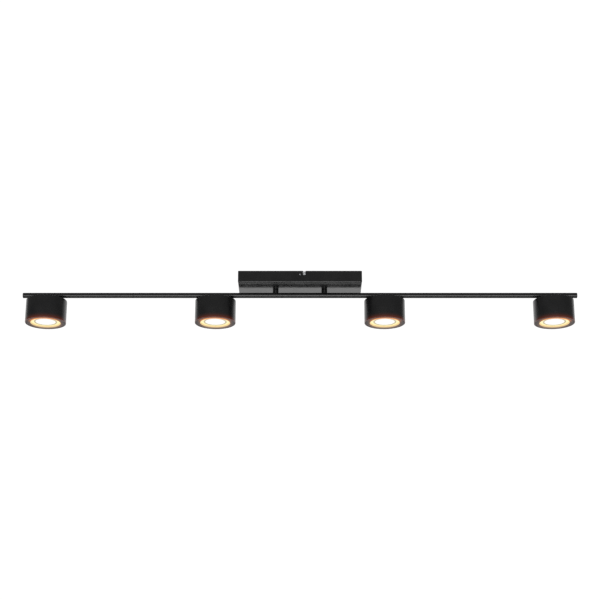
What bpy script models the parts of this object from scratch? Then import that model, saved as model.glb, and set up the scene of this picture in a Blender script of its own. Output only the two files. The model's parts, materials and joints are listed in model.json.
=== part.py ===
"""Ceiling spot bar: a shallow canopy, two short posts, a long round bar and a row of LED heads.

Each head hangs under the bar on a swivel knuckle. The knuckle pans about an upright spigot, and
the head tilts about a pin that crosses the knuckle, parallel to the bar at rest.

Frame: the origin is on the ceiling, at the middle of the bracket's top face. +X runs along the
bar, -Y is the front and +Z is up, so the whole fitting lies below Z = 0. Sizes are in metres.
"""

import math

import bmesh
import bpy
from mathutils import Matrix, Vector

# --- Clearances ---------------------------------------------------------------------------------
GAP = 0.0003                 # between two pieces that touch
ROOM = 0.001                 # between a loose inner piece and what is round it

# --- Canopy -------------------------------------------------------------------------------------
CANOPY_LENGTH = 0.227
CANOPY_DEPTH = 0.088
CANOPY_HEIGHT = 0.0226
CANOPY_WALL = 0.0012
CANOPY_EDGE = 0.0022         # outer radius of the pressed edges
NOTCH_OFFSET = 0.0078        # middle of the notch in the front wall's upper edge, along X
NOTCH_WIDTH = 0.0046
NOTCH_HEIGHT = 0.0085
COVER_SCREW_DROP = 0.0070    # grub screw's axis below the ceiling
COVER_SCREW_RADIUS = 0.0015
COVER_SCREW_TAIL = 0.0022    # past the folded tab
KEY_RADIUS = 0.00075         # over the corners of the grub screw's socket

# --- Ceiling bracket ----------------------------------------------------------------------------
BRACKET_LENGTH = 0.150
BRACKET_WIDTH = 0.030
BRACKET_THICKNESS = 0.0015
BRACKET_ARM_WIDTH = 0.032    # arm that crosses the strap and carries the two folded tabs
TAB_HEIGHT = 0.012
TAB_INSET = 0.001            # a tab is this much narrower than the arm at each side
SLOT_WIDTH = 0.005           # for the ceiling screws
SLOT_LENGTH = 0.016
SLOT_SPACING = 0.084
CABLE_HOLE_RADIUS = 0.0045
CABLE_HOLE_OFFSET = 0.024
EARTH_OFFSET = 0.062
EARTH_SCREW_RADIUS = 0.0020
EARTH_HEAD_RADIUS = 0.0040
EARTH_HEAD_HEIGHT = 0.0024

# --- Inside the canopy --------------------------------------------------------------------------
DRIVER_MARGIN = 0.0042       # from a post nut's corner to the driver
DRIVER_DEPTH = 0.036
DRIVER_EDGE = 0.0015
DRIVER_RECESS_DEPTH = 0.0058
DRIVER_RECESS_WIDTH = 0.018
DRIVER_RECESS_SHARE = 0.4    # of the case's height
TERMINAL_LENGTH = 0.026
TERMINAL_DEPTH = 0.018
TERMINAL_HEIGHT = 0.011
TERMINAL_WAYS = 3
TERMINAL_BORE_RADIUS = 0.0018
TERMINAL_MARGIN = 0.008      # from the canopy's end wall
TERMINAL_EDGE = 0.001

# --- Bar ----------------------------------------------------------------------------------------
BAR_LENGTH = 1.025           # over the end caps
BAR_RADIUS = 0.005
BAR_WALL = 0.001
BAR_DROP = 0.0104            # from the canopy's underside to the bar's axis
CAP_FLANGE = 0.0014
CAP_PLUG_LENGTH = 0.007
CAP_EDGE = 0.0006

# --- Posts that carry the bar -------------------------------------------------------------------
POST_SPACING = 0.090
POST_RADIUS = 0.0055
POST_SADDLE = 0.0010         # how far a post reaches down past the top of the bar
STUD_RADIUS = 0.0030
STUD_HEIGHT = 0.0068         # above the canopy's floor
SPIGOT_INSET = 0.0012        # how far a spigot reaches into the bar's bore
LEAD_RADIUS = 0.0011
LEAD_CLEARANCE = 0.0006
NUT_ACROSS_FLATS = 0.010
NUT_HEIGHT = 0.0045

# --- Heads --------------------------------------------------------------------------------------
HEAD_COUNT = 4
END_OVERHANG = 0.0445        # from the last head's axis to the end of the bar
HEAD_RADIUS = 0.0375
HEAD_HEIGHT = 0.0429
HEAD_DROP = 0.0107           # from the bar's axis to the head's top face
HEAD_WALL = 0.0015
HEAD_EDGE = 0.0008           # rounding of the can's outer edges

# --- Swivel -------------------------------------------------------------------------------------
KNUCKLE_RADIUS = 0.0040
KNUCKLE_FLANGE = 0.0015
KNUCKLE_TOP_GAP = 0.0009     # from the knuckle's flange down to the head's top face
SWIVEL_RADIUS = 0.0020       # spigot that turns in the socket
SOCKET_WALL = 0.0007
PEEN_HEIGHT = 0.0008
PEEN_LIP = 0.0006
TONGUE_CLEARANCE = 0.0008    # from the tongue to each lug, along the tilt pin
TONGUE_STEP = 0.0005         # in from the flange's edge, across the pin
PIVOT_DROP = 0.0080          # from the head's top face to the tilt pin's axis
PIN_RADIUS = 0.0015
PIN_HEAD_RADIUS = 0.0026
PIN_HEAD_HEIGHT = 0.0016
TILT_LIMIT = 30.0            # degrees each way, stated again in the record
LUG_THICKNESS = 0.0015
LUG_WIDTH = 0.0084
LUG_TAIL = 0.0038            # below the tilt pin's axis
LUG_SET_BACK = 0.0001        # keeps a lug's face clear of the slot's edge
PLATE_THICKNESS = 0.0012
PLATE_MARGIN = 0.0080        # round the slot
RIVET_RADIUS = 0.0014
RIVET_HEAD_RADIUS = 0.0024
RIVET_HEAD_HEIGHT = 0.0008
SWING_CLEARANCE = 0.0006     # between the swinging head and the swivel

# --- Light unit in each head --------------------------------------------------------------------
RECESS = 0.0024              # from the front face in to the lens
TRIM_FACE = 0.0082           # width of the flat front ring
TRIM_LIP = 0.0019            # thickness of its lip
TRIM_LEDGE = 0.0020          # how far the diffuser ring reaches behind the lip
TRIM_HEIGHT = 0.0056
LENS_RADIUS = 0.0198
LENS_THICKNESS = 0.0026
LENS_DOME = 0.0003
LENS_SHOULDER = 0.6          # share of the radius at which the dome's facets break
DIFFUSER_THICKNESS = 0.0018
REFLECTOR_HEIGHT = 0.0080
REFLECTOR_SHEET = 0.0010
REFLECTOR_THROAT = 0.0095
BOARD_RADIUS = 0.0250
BOARD_THICKNESS = 0.0016
CHIP_RADIUS = 0.0070
CHIP_HEIGHT = 0.0010
SINK_BASE = 0.0035
SINK_RIM_HEIGHT = 0.0070
SINK_RIM_WIDTH = 0.0022

# --- Facets -------------------------------------------------------------------------------------
CAN_SIDES = 28
DISC_SIDES = 16
TUBE_SIDES = 14
SMALL_SIDES = 10
LEAD_SIDES = 8
EDGE_STEPS = 4               # across a pressed edge
SMOOTH_ANGLE = math.radians(35)

# --- Levels, worked down from the ceiling -------------------------------------------------------
CANOPY_BOTTOM = -CANOPY_HEIGHT
CANOPY_FLOOR = CANOPY_BOTTOM + CANOPY_WALL
BRACKET_BOTTOM = -BRACKET_THICKNESS
BAR_AXIS = CANOPY_BOTTOM - BAR_DROP
BAR_BORE = BAR_RADIUS - BAR_WALL
HEAD_TOP = BAR_AXIS - HEAD_DROP
HEAD_FRONT = HEAD_TOP - HEAD_HEIGHT
PIVOT = HEAD_TOP - PIVOT_DROP
FLANGE_BOTTOM = HEAD_TOP + KNUCKLE_TOP_GAP
FLANGE_TOP = FLANGE_BOTTOM + KNUCKLE_FLANGE
SOCKET_BOTTOM = FLANGE_TOP + GAP
SOCKET_TOP = BAR_AXIS - BAR_BORE + SPIGOT_INSET / 2
STUD_TOP = CANOPY_FLOOR + STUD_HEIGHT
HOLE_RADIUS = STUD_RADIUS + GAP
LEAD_BORE = LEAD_RADIUS + LEAD_CLEARANCE
SOCKET_BORE = SWIVEL_RADIUS + GAP
SPIGOT_RADIUS = SOCKET_BORE + SOCKET_WALL
LUG_INNER = KNUCKLE_RADIUS + SWING_CLEARANCE     # from the head's axis to a tilt lug
TONGUE_WIDTH = 2 * (LUG_INNER - TONGUE_CLEARANCE)
TONGUE_DEPTH = 2 * (KNUCKLE_RADIUS - TONGUE_STEP)
NUT_CORNER = NUT_ACROSS_FLATS / math.sqrt(3)
DRIVER_LENGTH = POST_SPACING - 2 * (NUT_CORNER + DRIVER_MARGIN)
CAN_BORE = HEAD_RADIUS - HEAD_WALL
APERTURE = CAN_BORE - GAP - TRIM_FACE
HEAD_PITCH = (BAR_LENGTH - 2 * END_OVERHANG) / (HEAD_COUNT - 1)
HEAD_PLACES = [(i - (HEAD_COUNT - 1) / 2) * HEAD_PITCH for i in range(HEAD_COUNT)]
SIDES = {"left": -1, "right": 1}

BLACK = ("black_paint", (0.018, 0.018, 0.019), 0.38, 0.0)
ZINC = ("zinc_plate", (0.62, 0.63, 0.64), 0.35, 1.0)
STEEL = ("bright_steel", (0.55, 0.55, 0.56), 0.28, 1.0)
BRASS = ("brass", (0.72, 0.56, 0.26), 0.30, 1.0)
ALUMINIUM = ("aluminium", (0.66, 0.67, 0.68), 0.40, 1.0)
WHITE_PLASTIC = ("white_plastic", (0.82, 0.82, 0.80), 0.45, 0.0)
WHITE_BOARD = ("board_mask", (0.88, 0.88, 0.84), 0.35, 0.0)
LENS_PLASTIC = ("lens_plastic", (0.97, 0.97, 0.95), 0.30, 0.0)
RING_PLASTIC = ("diffuser_plastic", (0.95, 0.88, 0.62), 0.40, 0.0)
REFLECTOR_PLASTIC = ("reflector_plastic", (0.90, 0.90, 0.90), 0.15, 0.2)
LEAD_SLEEVE = ("lead_sleeve", (0.85, 0.84, 0.80), 0.55, 0.0)

parts = None
cutters = None


# --- Scene and materials ------------------------------------------------------------------------
def start_scene():
    """Empty scene with one collection for the parts and one for the cutters."""
    global parts, cutters
    for old in list(bpy.data.objects):
        bpy.data.objects.remove(old, do_unlink=True)
    parts = bpy.data.collections.new("ceiling_spot_bar")
    cutters = bpy.data.collections.new("cutters")
    for group in (parts, cutters):
        bpy.context.scene.collection.children.link(group)


def paint(piece, finish):
    """Gives a piece its own material in one of the finishes above."""
    kind, colour, roughness, metallic = finish
    material = bpy.data.materials.new(f"{piece.name}_{kind}")
    material.use_nodes = True
    shader = material.node_tree.nodes["Principled BSDF"]
    shader.inputs["Base Color"].default_value = (*colour, 1.0)
    shader.inputs["Roughness"].default_value = roughness
    shader.inputs["Metallic"].default_value = metallic
    if not piece.data.materials:
        piece.data.materials.append(None)
    piece.material_slots[0].link = "OBJECT"
    piece.material_slots[0].material = material


def smooth(mesh):
    mesh.shade_smooth()
    mesh.set_sharp_from_angle(angle=SMOOTH_ANGLE)


def place(name, mesh, group):
    piece = bpy.data.objects.new(name, mesh)
    group.objects.link(piece)
    return piece


def part(name, mesh, finish):
    """Named piece with its own material, from a mesh in the fitting's frame."""
    smooth(mesh)
    piece = place(name, mesh, parts)
    paint(piece, finish)
    return piece


def joint_empty(name, location):
    """Empty that stands on a joint's axis. The pieces that turn on it are its children."""
    empty = bpy.data.objects.new(name, None)
    empty.empty_display_size = 0.01
    empty.location = location
    parts.objects.link(empty)
    return empty


# --- Shapes, all in world coordinates -----------------------------------------------------------
def to_mesh(name, bm):
    mesh = bpy.data.meshes.new(name)
    bm.to_mesh(mesh)
    bm.free()
    return mesh


def block(name, low, high, edge=0.0, edge_steps=2):
    """Box between two corners, with every edge rounded by edge."""
    low, high = Vector(low), Vector(high)
    bm = bmesh.new()
    bmesh.ops.create_cube(bm, size=1.0)
    bmesh.ops.scale(bm, vec=high - low, verts=bm.verts)
    bmesh.ops.translate(bm, vec=(low + high) / 2, verts=bm.verts)
    if edge > 0:
        bmesh.ops.bevel(bm, geom=bm.edges, offset=edge, segments=edge_steps, profile=0.5, affect="EDGES")
    return to_mesh(name, bm)


def rod(name, radius, start, end, sides=SMALL_SIDES):
    """Solid round bar from start to end."""
    start, end = Vector(start), Vector(end)
    turn = Vector((0, 0, 1)).rotation_difference(end - start).to_matrix().to_4x4()
    bm = bmesh.new()
    bmesh.ops.create_cone(
        bm,
        cap_ends=True,
        segments=sides,
        radius1=radius,
        radius2=radius,
        depth=(end - start).length,
        matrix=Matrix.Translation((start + end) / 2) @ turn,
    )
    return to_mesh(name, bm)


def turned(name, outline, centre=(0.0, 0.0), sides=DISC_SIDES, closed=False):
    """Outline of (radius, height) points turned about an upright axis.

    The outer side runs from top to bottom. A closed outline makes a ring, an open one starts and
    ends on the axis.
    """
    mesh = bpy.data.meshes.new(name + "_outline")
    count = len(outline)
    edges = [(i, (i + 1) % count) for i in range(count if closed else count - 1)]
    mesh.from_pydata([(radius, 0.0, height) for radius, height in outline], edges, [])
    guide = bpy.data.objects.new(name + "_outline", mesh)
    cutters.objects.link(guide)
    screw = guide.modifiers.new("turn", "SCREW")
    screw.steps = sides
    screw.render_steps = sides
    screw.use_merge_vertices = True
    screw.merge_threshold = 0.00005
    solid = evaluated_mesh(guide)
    bpy.data.objects.remove(guide)
    solid.name = name
    solid.transform(Matrix.Translation((centre[0], centre[1], 0.0)))
    return solid


def rounded_shell(name, length, depth, low, high, wall, edge):
    """Open-topped tray with rounded edges, as an open surface with Bevel and Solidify."""
    bm = bmesh.new()
    bmesh.ops.create_cube(bm, size=1.0)
    bmesh.ops.scale(bm, vec=(length, depth, high - low), verts=bm.verts)
    bmesh.ops.translate(bm, vec=(0, 0, (low + high) / 2), verts=bm.verts)
    lid = [face for face in bm.faces if face.normal.z > 0.5]
    bmesh.ops.delete(bm, geom=lid, context="FACES_ONLY")
    tray = place(name + "_skin", to_mesh(name, bm), cutters)
    bevel = tray.modifiers.new("pressed_edges", "BEVEL")
    bevel.width = edge
    bevel.segments = EDGE_STEPS
    solidify = tray.modifiers.new("sheet", "SOLIDIFY")
    solidify.thickness = wall
    solidify.offset = -1
    solidify.use_even_offset = True
    solid = evaluated_mesh(tray)
    bpy.data.objects.remove(tray)
    return solid


def evaluated_mesh(piece):
    """Copy of a piece's mesh with its modifiers applied."""
    bpy.context.view_layer.update()
    depsgraph = bpy.context.evaluated_depsgraph_get()
    return bpy.data.meshes.new_from_object(piece.evaluated_get(depsgraph), depsgraph=depsgraph)


def prism(name, outline, low, high):
    """Flat outline of (x, y) points raised from low to high."""
    bm = bmesh.new()
    floor = bm.faces.new([bm.verts.new((x, y, low)) for x, y in outline])
    raised = bmesh.ops.extrude_face_region(bm, geom=[floor])["geom"]
    corners = [item for item in raised if isinstance(item, bmesh.types.BMVert)]
    bmesh.ops.translate(bm, vec=(0, 0, high - low), verts=corners)
    bmesh.ops.recalc_face_normals(bm, faces=bm.faces)
    return to_mesh(name, bm)


def stadium(name, width, length, low, high, along="X", centre=(0.0, 0.0), sides=SMALL_SIDES):
    """Upright slug with round ends, for slots. Its length includes the round ends."""
    half = sides // 2
    radius = width / 2
    reach = length / 2 - radius
    outline = []
    for end in (1, -1):
        for step in range(half + 1):
            angle = math.pi * (step / half - 0.5)
            outline.append((end * (reach + radius * math.cos(angle)), end * radius * math.sin(angle)))
    if along == "Y":
        outline = [(-y, x) for x, y in outline]
    return prism(name, [(x + centre[0], y + centre[1]) for x, y in outline], low, high)


def hex_nut(name, centre, low, high, corner, bore):
    """Nut of that radius over its corners."""
    nut = rod(name, corner, (*centre, low), (*centre, high), sides=6)
    bore_slug = rod("bore", bore, (*centre, low - GAP), (*centre, high + GAP), TUBE_SIDES)
    return combine(name, nut, cuts=[bore_slug])


def combine(name, base, adds=(), cuts=()):
    """Mesh of base with adds joined to it and then cuts taken from it."""
    body = place(name + "_body", base, cutters)
    used = []
    for operation, meshes in (("UNION", adds), ("DIFFERENCE", cuts)):
        for mesh in meshes:
            tool = place(f"{name}_{operation.lower()}", mesh, cutters)
            tool.hide_render = True
            tool.display_type = "WIRE"
            used.append(tool)
            boolean = body.modifiers.new(operation.lower(), "BOOLEAN")
            boolean.operation = operation
            boolean.solver = "EXACT"
            boolean.object = tool
    solid = evaluated_mesh(body)
    for piece in (body, *used):
        bpy.data.objects.remove(piece)
    solid.name = name
    return solid


# --- Canopy and what it holds -------------------------------------------------------------------
def tab_face():
    """Outer face of the bracket's folded tabs, just inside the canopy's long walls."""
    return CANOPY_DEPTH / 2 - CANOPY_WALL - GAP


def screw_line(side, start, end):
    """Start and end of a line along Y at the height of the canopy's grub screws."""
    return (0.0, side * start, -COVER_SCREW_DROP), (0.0, side * end, -COVER_SCREW_DROP)


def build_bracket():
    """Zinc-plated strap that is screwed to the ceiling, with an arm across it and folded tabs."""
    face = tab_face()
    arm_end = face - BRACKET_THICKNESS / 2
    quarter = [
        (BRACKET_LENGTH / 2, BRACKET_WIDTH / 2),
        (BRACKET_ARM_WIDTH / 2, BRACKET_WIDTH / 2),
        (BRACKET_ARM_WIDTH / 2, arm_end),
    ]
    half = quarter + [(-x, y) for x, y in reversed(quarter)]
    cross = prism("cross", half + [(x, -y) for x, y in reversed(half)], BRACKET_BOTTOM, 0.0)
    tabs = []
    cuts = []
    for side in (-1, 1):
        inner, outer = sorted((side * (face - BRACKET_THICKNESS), side * face))
        tabs.append(
            block(
                "tab",
                (TAB_INSET - BRACKET_ARM_WIDTH / 2, inner, -TAB_HEIGHT),
                (BRACKET_ARM_WIDTH / 2 - TAB_INSET, outer, -GAP),
            )
        )
        start, end = screw_line(side, face - BRACKET_THICKNESS - ROOM, face + ROOM)
        cuts.append(rod("tab_hole", COVER_SCREW_RADIUS + GAP, start, end))
        cuts.append(
            stadium(
                "slot",
                SLOT_WIDTH,
                SLOT_LENGTH,
                BRACKET_BOTTOM - ROOM,
                ROOM,
                centre=(side * SLOT_SPACING / 2, 0.0),
            )
        )
    for offset, radius in (
        (CABLE_HOLE_OFFSET, CABLE_HOLE_RADIUS),
        (-EARTH_OFFSET, EARTH_SCREW_RADIUS + GAP),
    ):
        cuts.append(rod("hole", radius, (offset, 0, BRACKET_BOTTOM - ROOM), (offset, 0, ROOM)))
    part("ceiling_bracket", combine("ceiling_bracket", cross, adds=tabs, cuts=cuts), ZINC)


def build_cover():
    """Pressed canopy, open towards the ceiling, with holes for the posts and the grub screws."""
    tray = rounded_shell(
        "canopy", CANOPY_LENGTH, CANOPY_DEPTH, CANOPY_BOTTOM, -GAP, CANOPY_WALL, CANOPY_EDGE
    )
    wall = CANOPY_DEPTH / 2
    cuts = [
        block(
            "notch",
            (NOTCH_OFFSET - NOTCH_WIDTH / 2, -wall - ROOM, -NOTCH_HEIGHT),
            (NOTCH_OFFSET + NOTCH_WIDTH / 2, -wall + CANOPY_WALL + ROOM, ROOM),
        )
    ]
    for side in SIDES.values():
        start, end = screw_line(side, wall - CANOPY_WALL - ROOM, wall + ROOM)
        cuts.append(rod("screw_hole", COVER_SCREW_RADIUS + GAP, start, end))
        post = side * POST_SPACING / 2
        low = CANOPY_BOTTOM - ROOM
        high = CANOPY_FLOOR + ROOM
        cuts.append(rod("post_hole", HOLE_RADIUS, (post, 0, low), (post, 0, high), TUBE_SIDES))
    part("canopy_cover", combine("canopy_cover", tray, cuts=cuts), BLACK)


def build_cover_screws():
    """Two grub screws, one in the front wall and one in the back, that hold the canopy's tabs."""
    wall = CANOPY_DEPTH / 2
    for name, side in (("front", -1), ("back", 1)):
        tail = tab_face() - BRACKET_THICKNESS - COVER_SCREW_TAIL
        start, end = screw_line(side, tail, wall - GAP)
        shank = rod("shank", COVER_SCREW_RADIUS, start, end)
        key_start, key_end = screw_line(side, wall - CANOPY_WALL, wall + ROOM)
        key = rod("key", KEY_RADIUS, key_start, key_end, sides=6)
        screw = combine(f"canopy_screw_{name}", shank, cuts=[key])
        part(f"canopy_screw_{name}", screw, STEEL)


def build_earth_screw():
    """Brass earth screw, threaded up through the strap."""
    spot = (-EARTH_OFFSET, 0.0)
    head_top = BRACKET_BOTTOM - GAP
    outline = [
        (0.0, -GAP),
        (EARTH_SCREW_RADIUS, -GAP),
        (EARTH_SCREW_RADIUS, head_top),
        (EARTH_HEAD_RADIUS, head_top),
        (EARTH_HEAD_RADIUS, head_top - EARTH_HEAD_HEIGHT),
        (0.0, head_top - EARTH_HEAD_HEIGHT),
    ]
    part("earth_screw", turned("earth_screw", outline, spot, SMALL_SIDES), BRASS)


def build_driver():
    """Constant-current driver between the posts, with a terminal recess in each end."""
    low = CANOPY_FLOOR + GAP
    high = BRACKET_BOTTOM - ROOM
    case = block(
        "case",
        (-DRIVER_LENGTH / 2, -DRIVER_DEPTH / 2, low),
        (DRIVER_LENGTH / 2, DRIVER_DEPTH / 2, high),
        edge=DRIVER_EDGE,
    )
    middle = (low + high) / 2
    half_height = (high - low) * DRIVER_RECESS_SHARE / 2
    half_width = DRIVER_RECESS_WIDTH / 2
    recesses = []
    for side in SIDES.values():
        near = side * (DRIVER_LENGTH / 2 - DRIVER_RECESS_DEPTH)
        far = side * (DRIVER_LENGTH / 2 + ROOM)
        recesses.append(
            block(
                "recess",
                (min(near, far), -half_width, middle - half_height),
                (max(near, far), half_width, middle + half_height),
            )
        )
    part("led_driver", combine("led_driver", case, cuts=recesses), WHITE_PLASTIC)


def build_terminal_block():
    """Mains terminal block near the right end, with a bore for each wire."""
    low = CANOPY_FLOOR + GAP
    high = low + TERMINAL_HEIGHT
    end = CANOPY_LENGTH / 2 - CANOPY_WALL - TERMINAL_MARGIN
    start = end - TERMINAL_LENGTH
    body = block(
        "body",
        (start, -TERMINAL_DEPTH / 2, low),
        (end, TERMINAL_DEPTH / 2, high),
        edge=TERMINAL_EDGE,
        edge_steps=1,
    )
    cuts = []
    for way in range(TERMINAL_WAYS):
        x = start + TERMINAL_LENGTH * (way + 0.5) / TERMINAL_WAYS
        height = (low + high) / 2
        near = (x, -TERMINAL_DEPTH, height)
        far = (x, TERMINAL_DEPTH, height)
        cuts.append(rod("bore", TERMINAL_BORE_RADIUS, near, far))
    part("terminal_block", combine("terminal_block", body, cuts=cuts), WHITE_PLASTIC)


# --- Posts and bar ------------------------------------------------------------------------------
def bar_slug(radius):
    """Round slug on the bar's axis, longer than the bar, for its bore and for saddles."""
    return rod("bar_slug", radius, (-BAR_LENGTH, 0, BAR_AXIS), (BAR_LENGTH, 0, BAR_AXIS), TUBE_SIDES)


def build_post(name, side):
    """Hollow post: saddle and spigot on the bar, collar under the canopy, threaded stud inside."""
    x = side * POST_SPACING / 2
    collar_top = CANOPY_BOTTOM - GAP
    collar_bottom = BAR_AXIS + BAR_RADIUS - POST_SADDLE
    collar = rod("collar", POST_RADIUS, (x, 0, collar_bottom), (x, 0, collar_top), TUBE_SIDES)
    collar = combine("collar", collar, cuts=[bar_slug(BAR_RADIUS + GAP)])
    spigot_bottom = BAR_AXIS + BAR_BORE - SPIGOT_INSET
    stud = rod("stud", STUD_RADIUS, (x, 0, spigot_bottom), (x, 0, STUD_TOP), TUBE_SIDES)
    bore = rod("bore", LEAD_BORE, (x, 0, spigot_bottom - ROOM), (x, 0, STUD_TOP + ROOM))
    part(f"post_{name}", combine(f"post_{name}", collar, adds=[stud], cuts=[bore]), BLACK)
    nut_low = CANOPY_FLOOR + GAP
    nut = hex_nut("nut", (x, 0.0), nut_low, nut_low + NUT_HEIGHT, NUT_CORNER, HOLE_RADIUS)
    part(f"post_nut_{name}", nut, ZINC)


def build_bar():
    """Thin-walled tube with a hole over each post's spigot and under each socket's spigot."""
    half = BAR_LENGTH / 2 - CAP_FLANGE - GAP
    tube = rod("tube", BAR_RADIUS, (-half, 0, BAR_AXIS), (half, 0, BAR_AXIS), TUBE_SIDES)
    cuts = [bar_slug(BAR_BORE)]
    for side in SIDES.values():
        x = side * POST_SPACING / 2
        above = BAR_AXIS + 2 * BAR_RADIUS
        cuts.append(rod("top_hole", HOLE_RADIUS, (x, 0, BAR_AXIS), (x, 0, above), TUBE_SIDES))
    for x in HEAD_PLACES:
        below = BAR_AXIS - 2 * BAR_RADIUS
        cuts.append(rod("low_hole", SPIGOT_RADIUS + GAP, (x, 0, below), (x, 0, BAR_AXIS), TUBE_SIDES))
    part("bar_tube", combine("bar_tube", tube, cuts=cuts), BLACK)


def build_end_cap(name, side):
    """Plug that closes one end of the bar, with a thin flange flush with the tube."""
    tip = BAR_LENGTH / 2
    shoulder = tip - CAP_FLANGE
    plug = BAR_BORE - GAP
    outline = [
        (0.0, tip),
        (BAR_RADIUS - CAP_EDGE, tip),
        (BAR_RADIUS, tip - CAP_EDGE),
        (BAR_RADIUS, shoulder),
        (plug, shoulder),
        (plug, shoulder - CAP_PLUG_LENGTH),
        (0.0, shoulder - CAP_PLUG_LENGTH),
    ]
    cap = turned("cap", outline, sides=TUBE_SIDES)
    cap.transform(Matrix.Rotation(side * math.radians(90), 4, "Y"))
    cap.transform(Matrix.Translation((0, 0, BAR_AXIS)))
    part(f"bar_end_cap_{name}", cap, BLACK)


def build_lead():
    """Twin lead in one sleeve: from the driver over the right post, down its bore and along the bar."""
    post = POST_SPACING / 2
    reach = HEAD_PLACES[-1]
    over = STUD_TOP + 2 * LEAD_RADIUS
    run = rod("run", LEAD_RADIUS, (-reach, 0, BAR_AXIS), (reach, 0, BAR_AXIS), LEAD_SIDES)
    drop = rod("drop", LEAD_RADIUS, (post, 0, BAR_AXIS), (post, 0, over + LEAD_RADIUS), LEAD_SIDES)
    start = DRIVER_LENGTH / 2 + GAP
    tail = rod("tail", LEAD_RADIUS, (start, 0, over), (post + LEAD_RADIUS / 2, 0, over), LEAD_SIDES)
    part("supply_lead", combine("supply_lead", run, adds=[drop, tail]), LEAD_SLEEVE)


# --- Heads: every mesh stands on the head's own axis, at X = 0 -----------------------------------
def swing_half():
    """Half length of the slot that the round swivel needs at the tilt limit."""
    tilt = math.radians(TILT_LIMIT)
    height = (PIVOT_DROP + KNUCKLE_RADIUS * math.sin(tilt)) / math.cos(tilt)
    return KNUCKLE_RADIUS * math.cos(tilt) + height * math.sin(tilt) + SWING_CLEARANCE


def head_slot(low, high):
    """Cutter for the slot that the swivel stands in."""
    return stadium("slot", 2 * LUG_INNER, 2 * swing_half(), low, high, along="Y")


def rivet_reach():
    return LUG_INNER + LUG_THICKNESS + PLATE_MARGIN / 2


def socket_mesh():
    """Socket brazed under the bar, with the bore that the knuckle's spigot turns in."""
    boss = rod("boss", KNUCKLE_RADIUS, (0, 0, SOCKET_BOTTOM), (0, 0, BAR_AXIS - BAR_RADIUS / 2), TUBE_SIDES)
    boss = combine("boss", boss, cuts=[bar_slug(BAR_RADIUS + GAP)])
    spigot = rod("spigot", SPIGOT_RADIUS, (0, 0, SOCKET_BOTTOM + GAP), (0, 0, SOCKET_TOP), TUBE_SIDES)
    bore = rod("bore", SOCKET_BORE, (0, 0, SOCKET_BOTTOM - ROOM), (0, 0, SOCKET_TOP + ROOM), TUBE_SIDES)
    return combine("socket", boss, adds=[spigot], cuts=[bore])


def knuckle_mesh():
    """Swivel: spigot with a peened end, round flange and a round-ended tongue for the tilt pin."""
    peen_bottom = SOCKET_TOP + GAP
    flange_low = FLANGE_BOTTOM - KNUCKLE_FLANGE
    spigot = [
        (0.0, peen_bottom + PEEN_HEIGHT),
        (SWIVEL_RADIUS + PEEN_LIP, peen_bottom + PEEN_HEIGHT),
        (SWIVEL_RADIUS + PEEN_LIP, peen_bottom),
        (SWIVEL_RADIUS, peen_bottom),
        (SWIVEL_RADIUS, FLANGE_TOP),
        (KNUCKLE_RADIUS, FLANGE_TOP),
        (KNUCKLE_RADIUS, flange_low),
        (0.0, flange_low),
    ]
    half_width = TONGUE_WIDTH / 2
    half_depth = TONGUE_DEPTH / 2
    outline = [(half_depth, FLANGE_BOTTOM)]
    for step in range(TUBE_SIDES // 2 + 1):
        angle = -math.pi * step / (TUBE_SIDES // 2)
        outline.append((half_depth * math.cos(angle), PIVOT + half_depth * math.sin(angle)))
    outline.append((-half_depth, FLANGE_BOTTOM))
    tongue = prism("tongue", outline, -half_width, half_width)
    tongue.transform(Matrix(((0, 0, 1, 0), (1, 0, 0, 0), (0, 1, 0, 0), (0, 0, 0, 1))))
    pin_hole = rod("pin_hole", PIN_RADIUS + GAP, (-TONGUE_WIDTH, 0, PIVOT), (TONGUE_WIDTH, 0, PIVOT))
    exit_height = (PIVOT + FLANGE_BOTTOM) / 2 + LEAD_RADIUS
    wire_way = rod("wire_way", LEAD_RADIUS, (0, 0, exit_height), (0, 0, BAR_AXIS), SMALL_SIDES)
    wire_exit = rod(
        "wire_exit", LEAD_BORE, (0, -TONGUE_DEPTH, exit_height), (0, TONGUE_DEPTH, exit_height), SMALL_SIDES
    )
    return combine(
        "knuckle",
        turned("spigot", spigot, sides=TUBE_SIDES),
        adds=[tongue],
        cuts=[pin_hole, wire_exit, wire_way],
    )


def housing_mesh():
    """Can, closed at the top but for the swivel's slot and the rivet holes."""
    outline = [
        (0.0, HEAD_TOP),
        (HEAD_RADIUS - HEAD_EDGE, HEAD_TOP),
        (HEAD_RADIUS, HEAD_TOP - HEAD_EDGE),
        (HEAD_RADIUS, HEAD_FRONT + HEAD_EDGE / 2),
        (HEAD_RADIUS - HEAD_EDGE / 2, HEAD_FRONT),
        (CAN_BORE, HEAD_FRONT),
        (CAN_BORE, HEAD_TOP - HEAD_WALL),
        (0.0, HEAD_TOP - HEAD_WALL),
    ]
    low = HEAD_TOP - 2 * HEAD_WALL
    high = HEAD_TOP + HEAD_WALL
    cuts = [head_slot(low, high)]
    for side in SIDES.values():
        x = side * rivet_reach()
        cuts.append(rod("rivet_hole", RIVET_RADIUS + GAP, (x, 0, low), (x, 0, high), SMALL_SIDES))
    return combine("housing", turned("can", outline, sides=CAN_SIDES), cuts=cuts)


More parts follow.
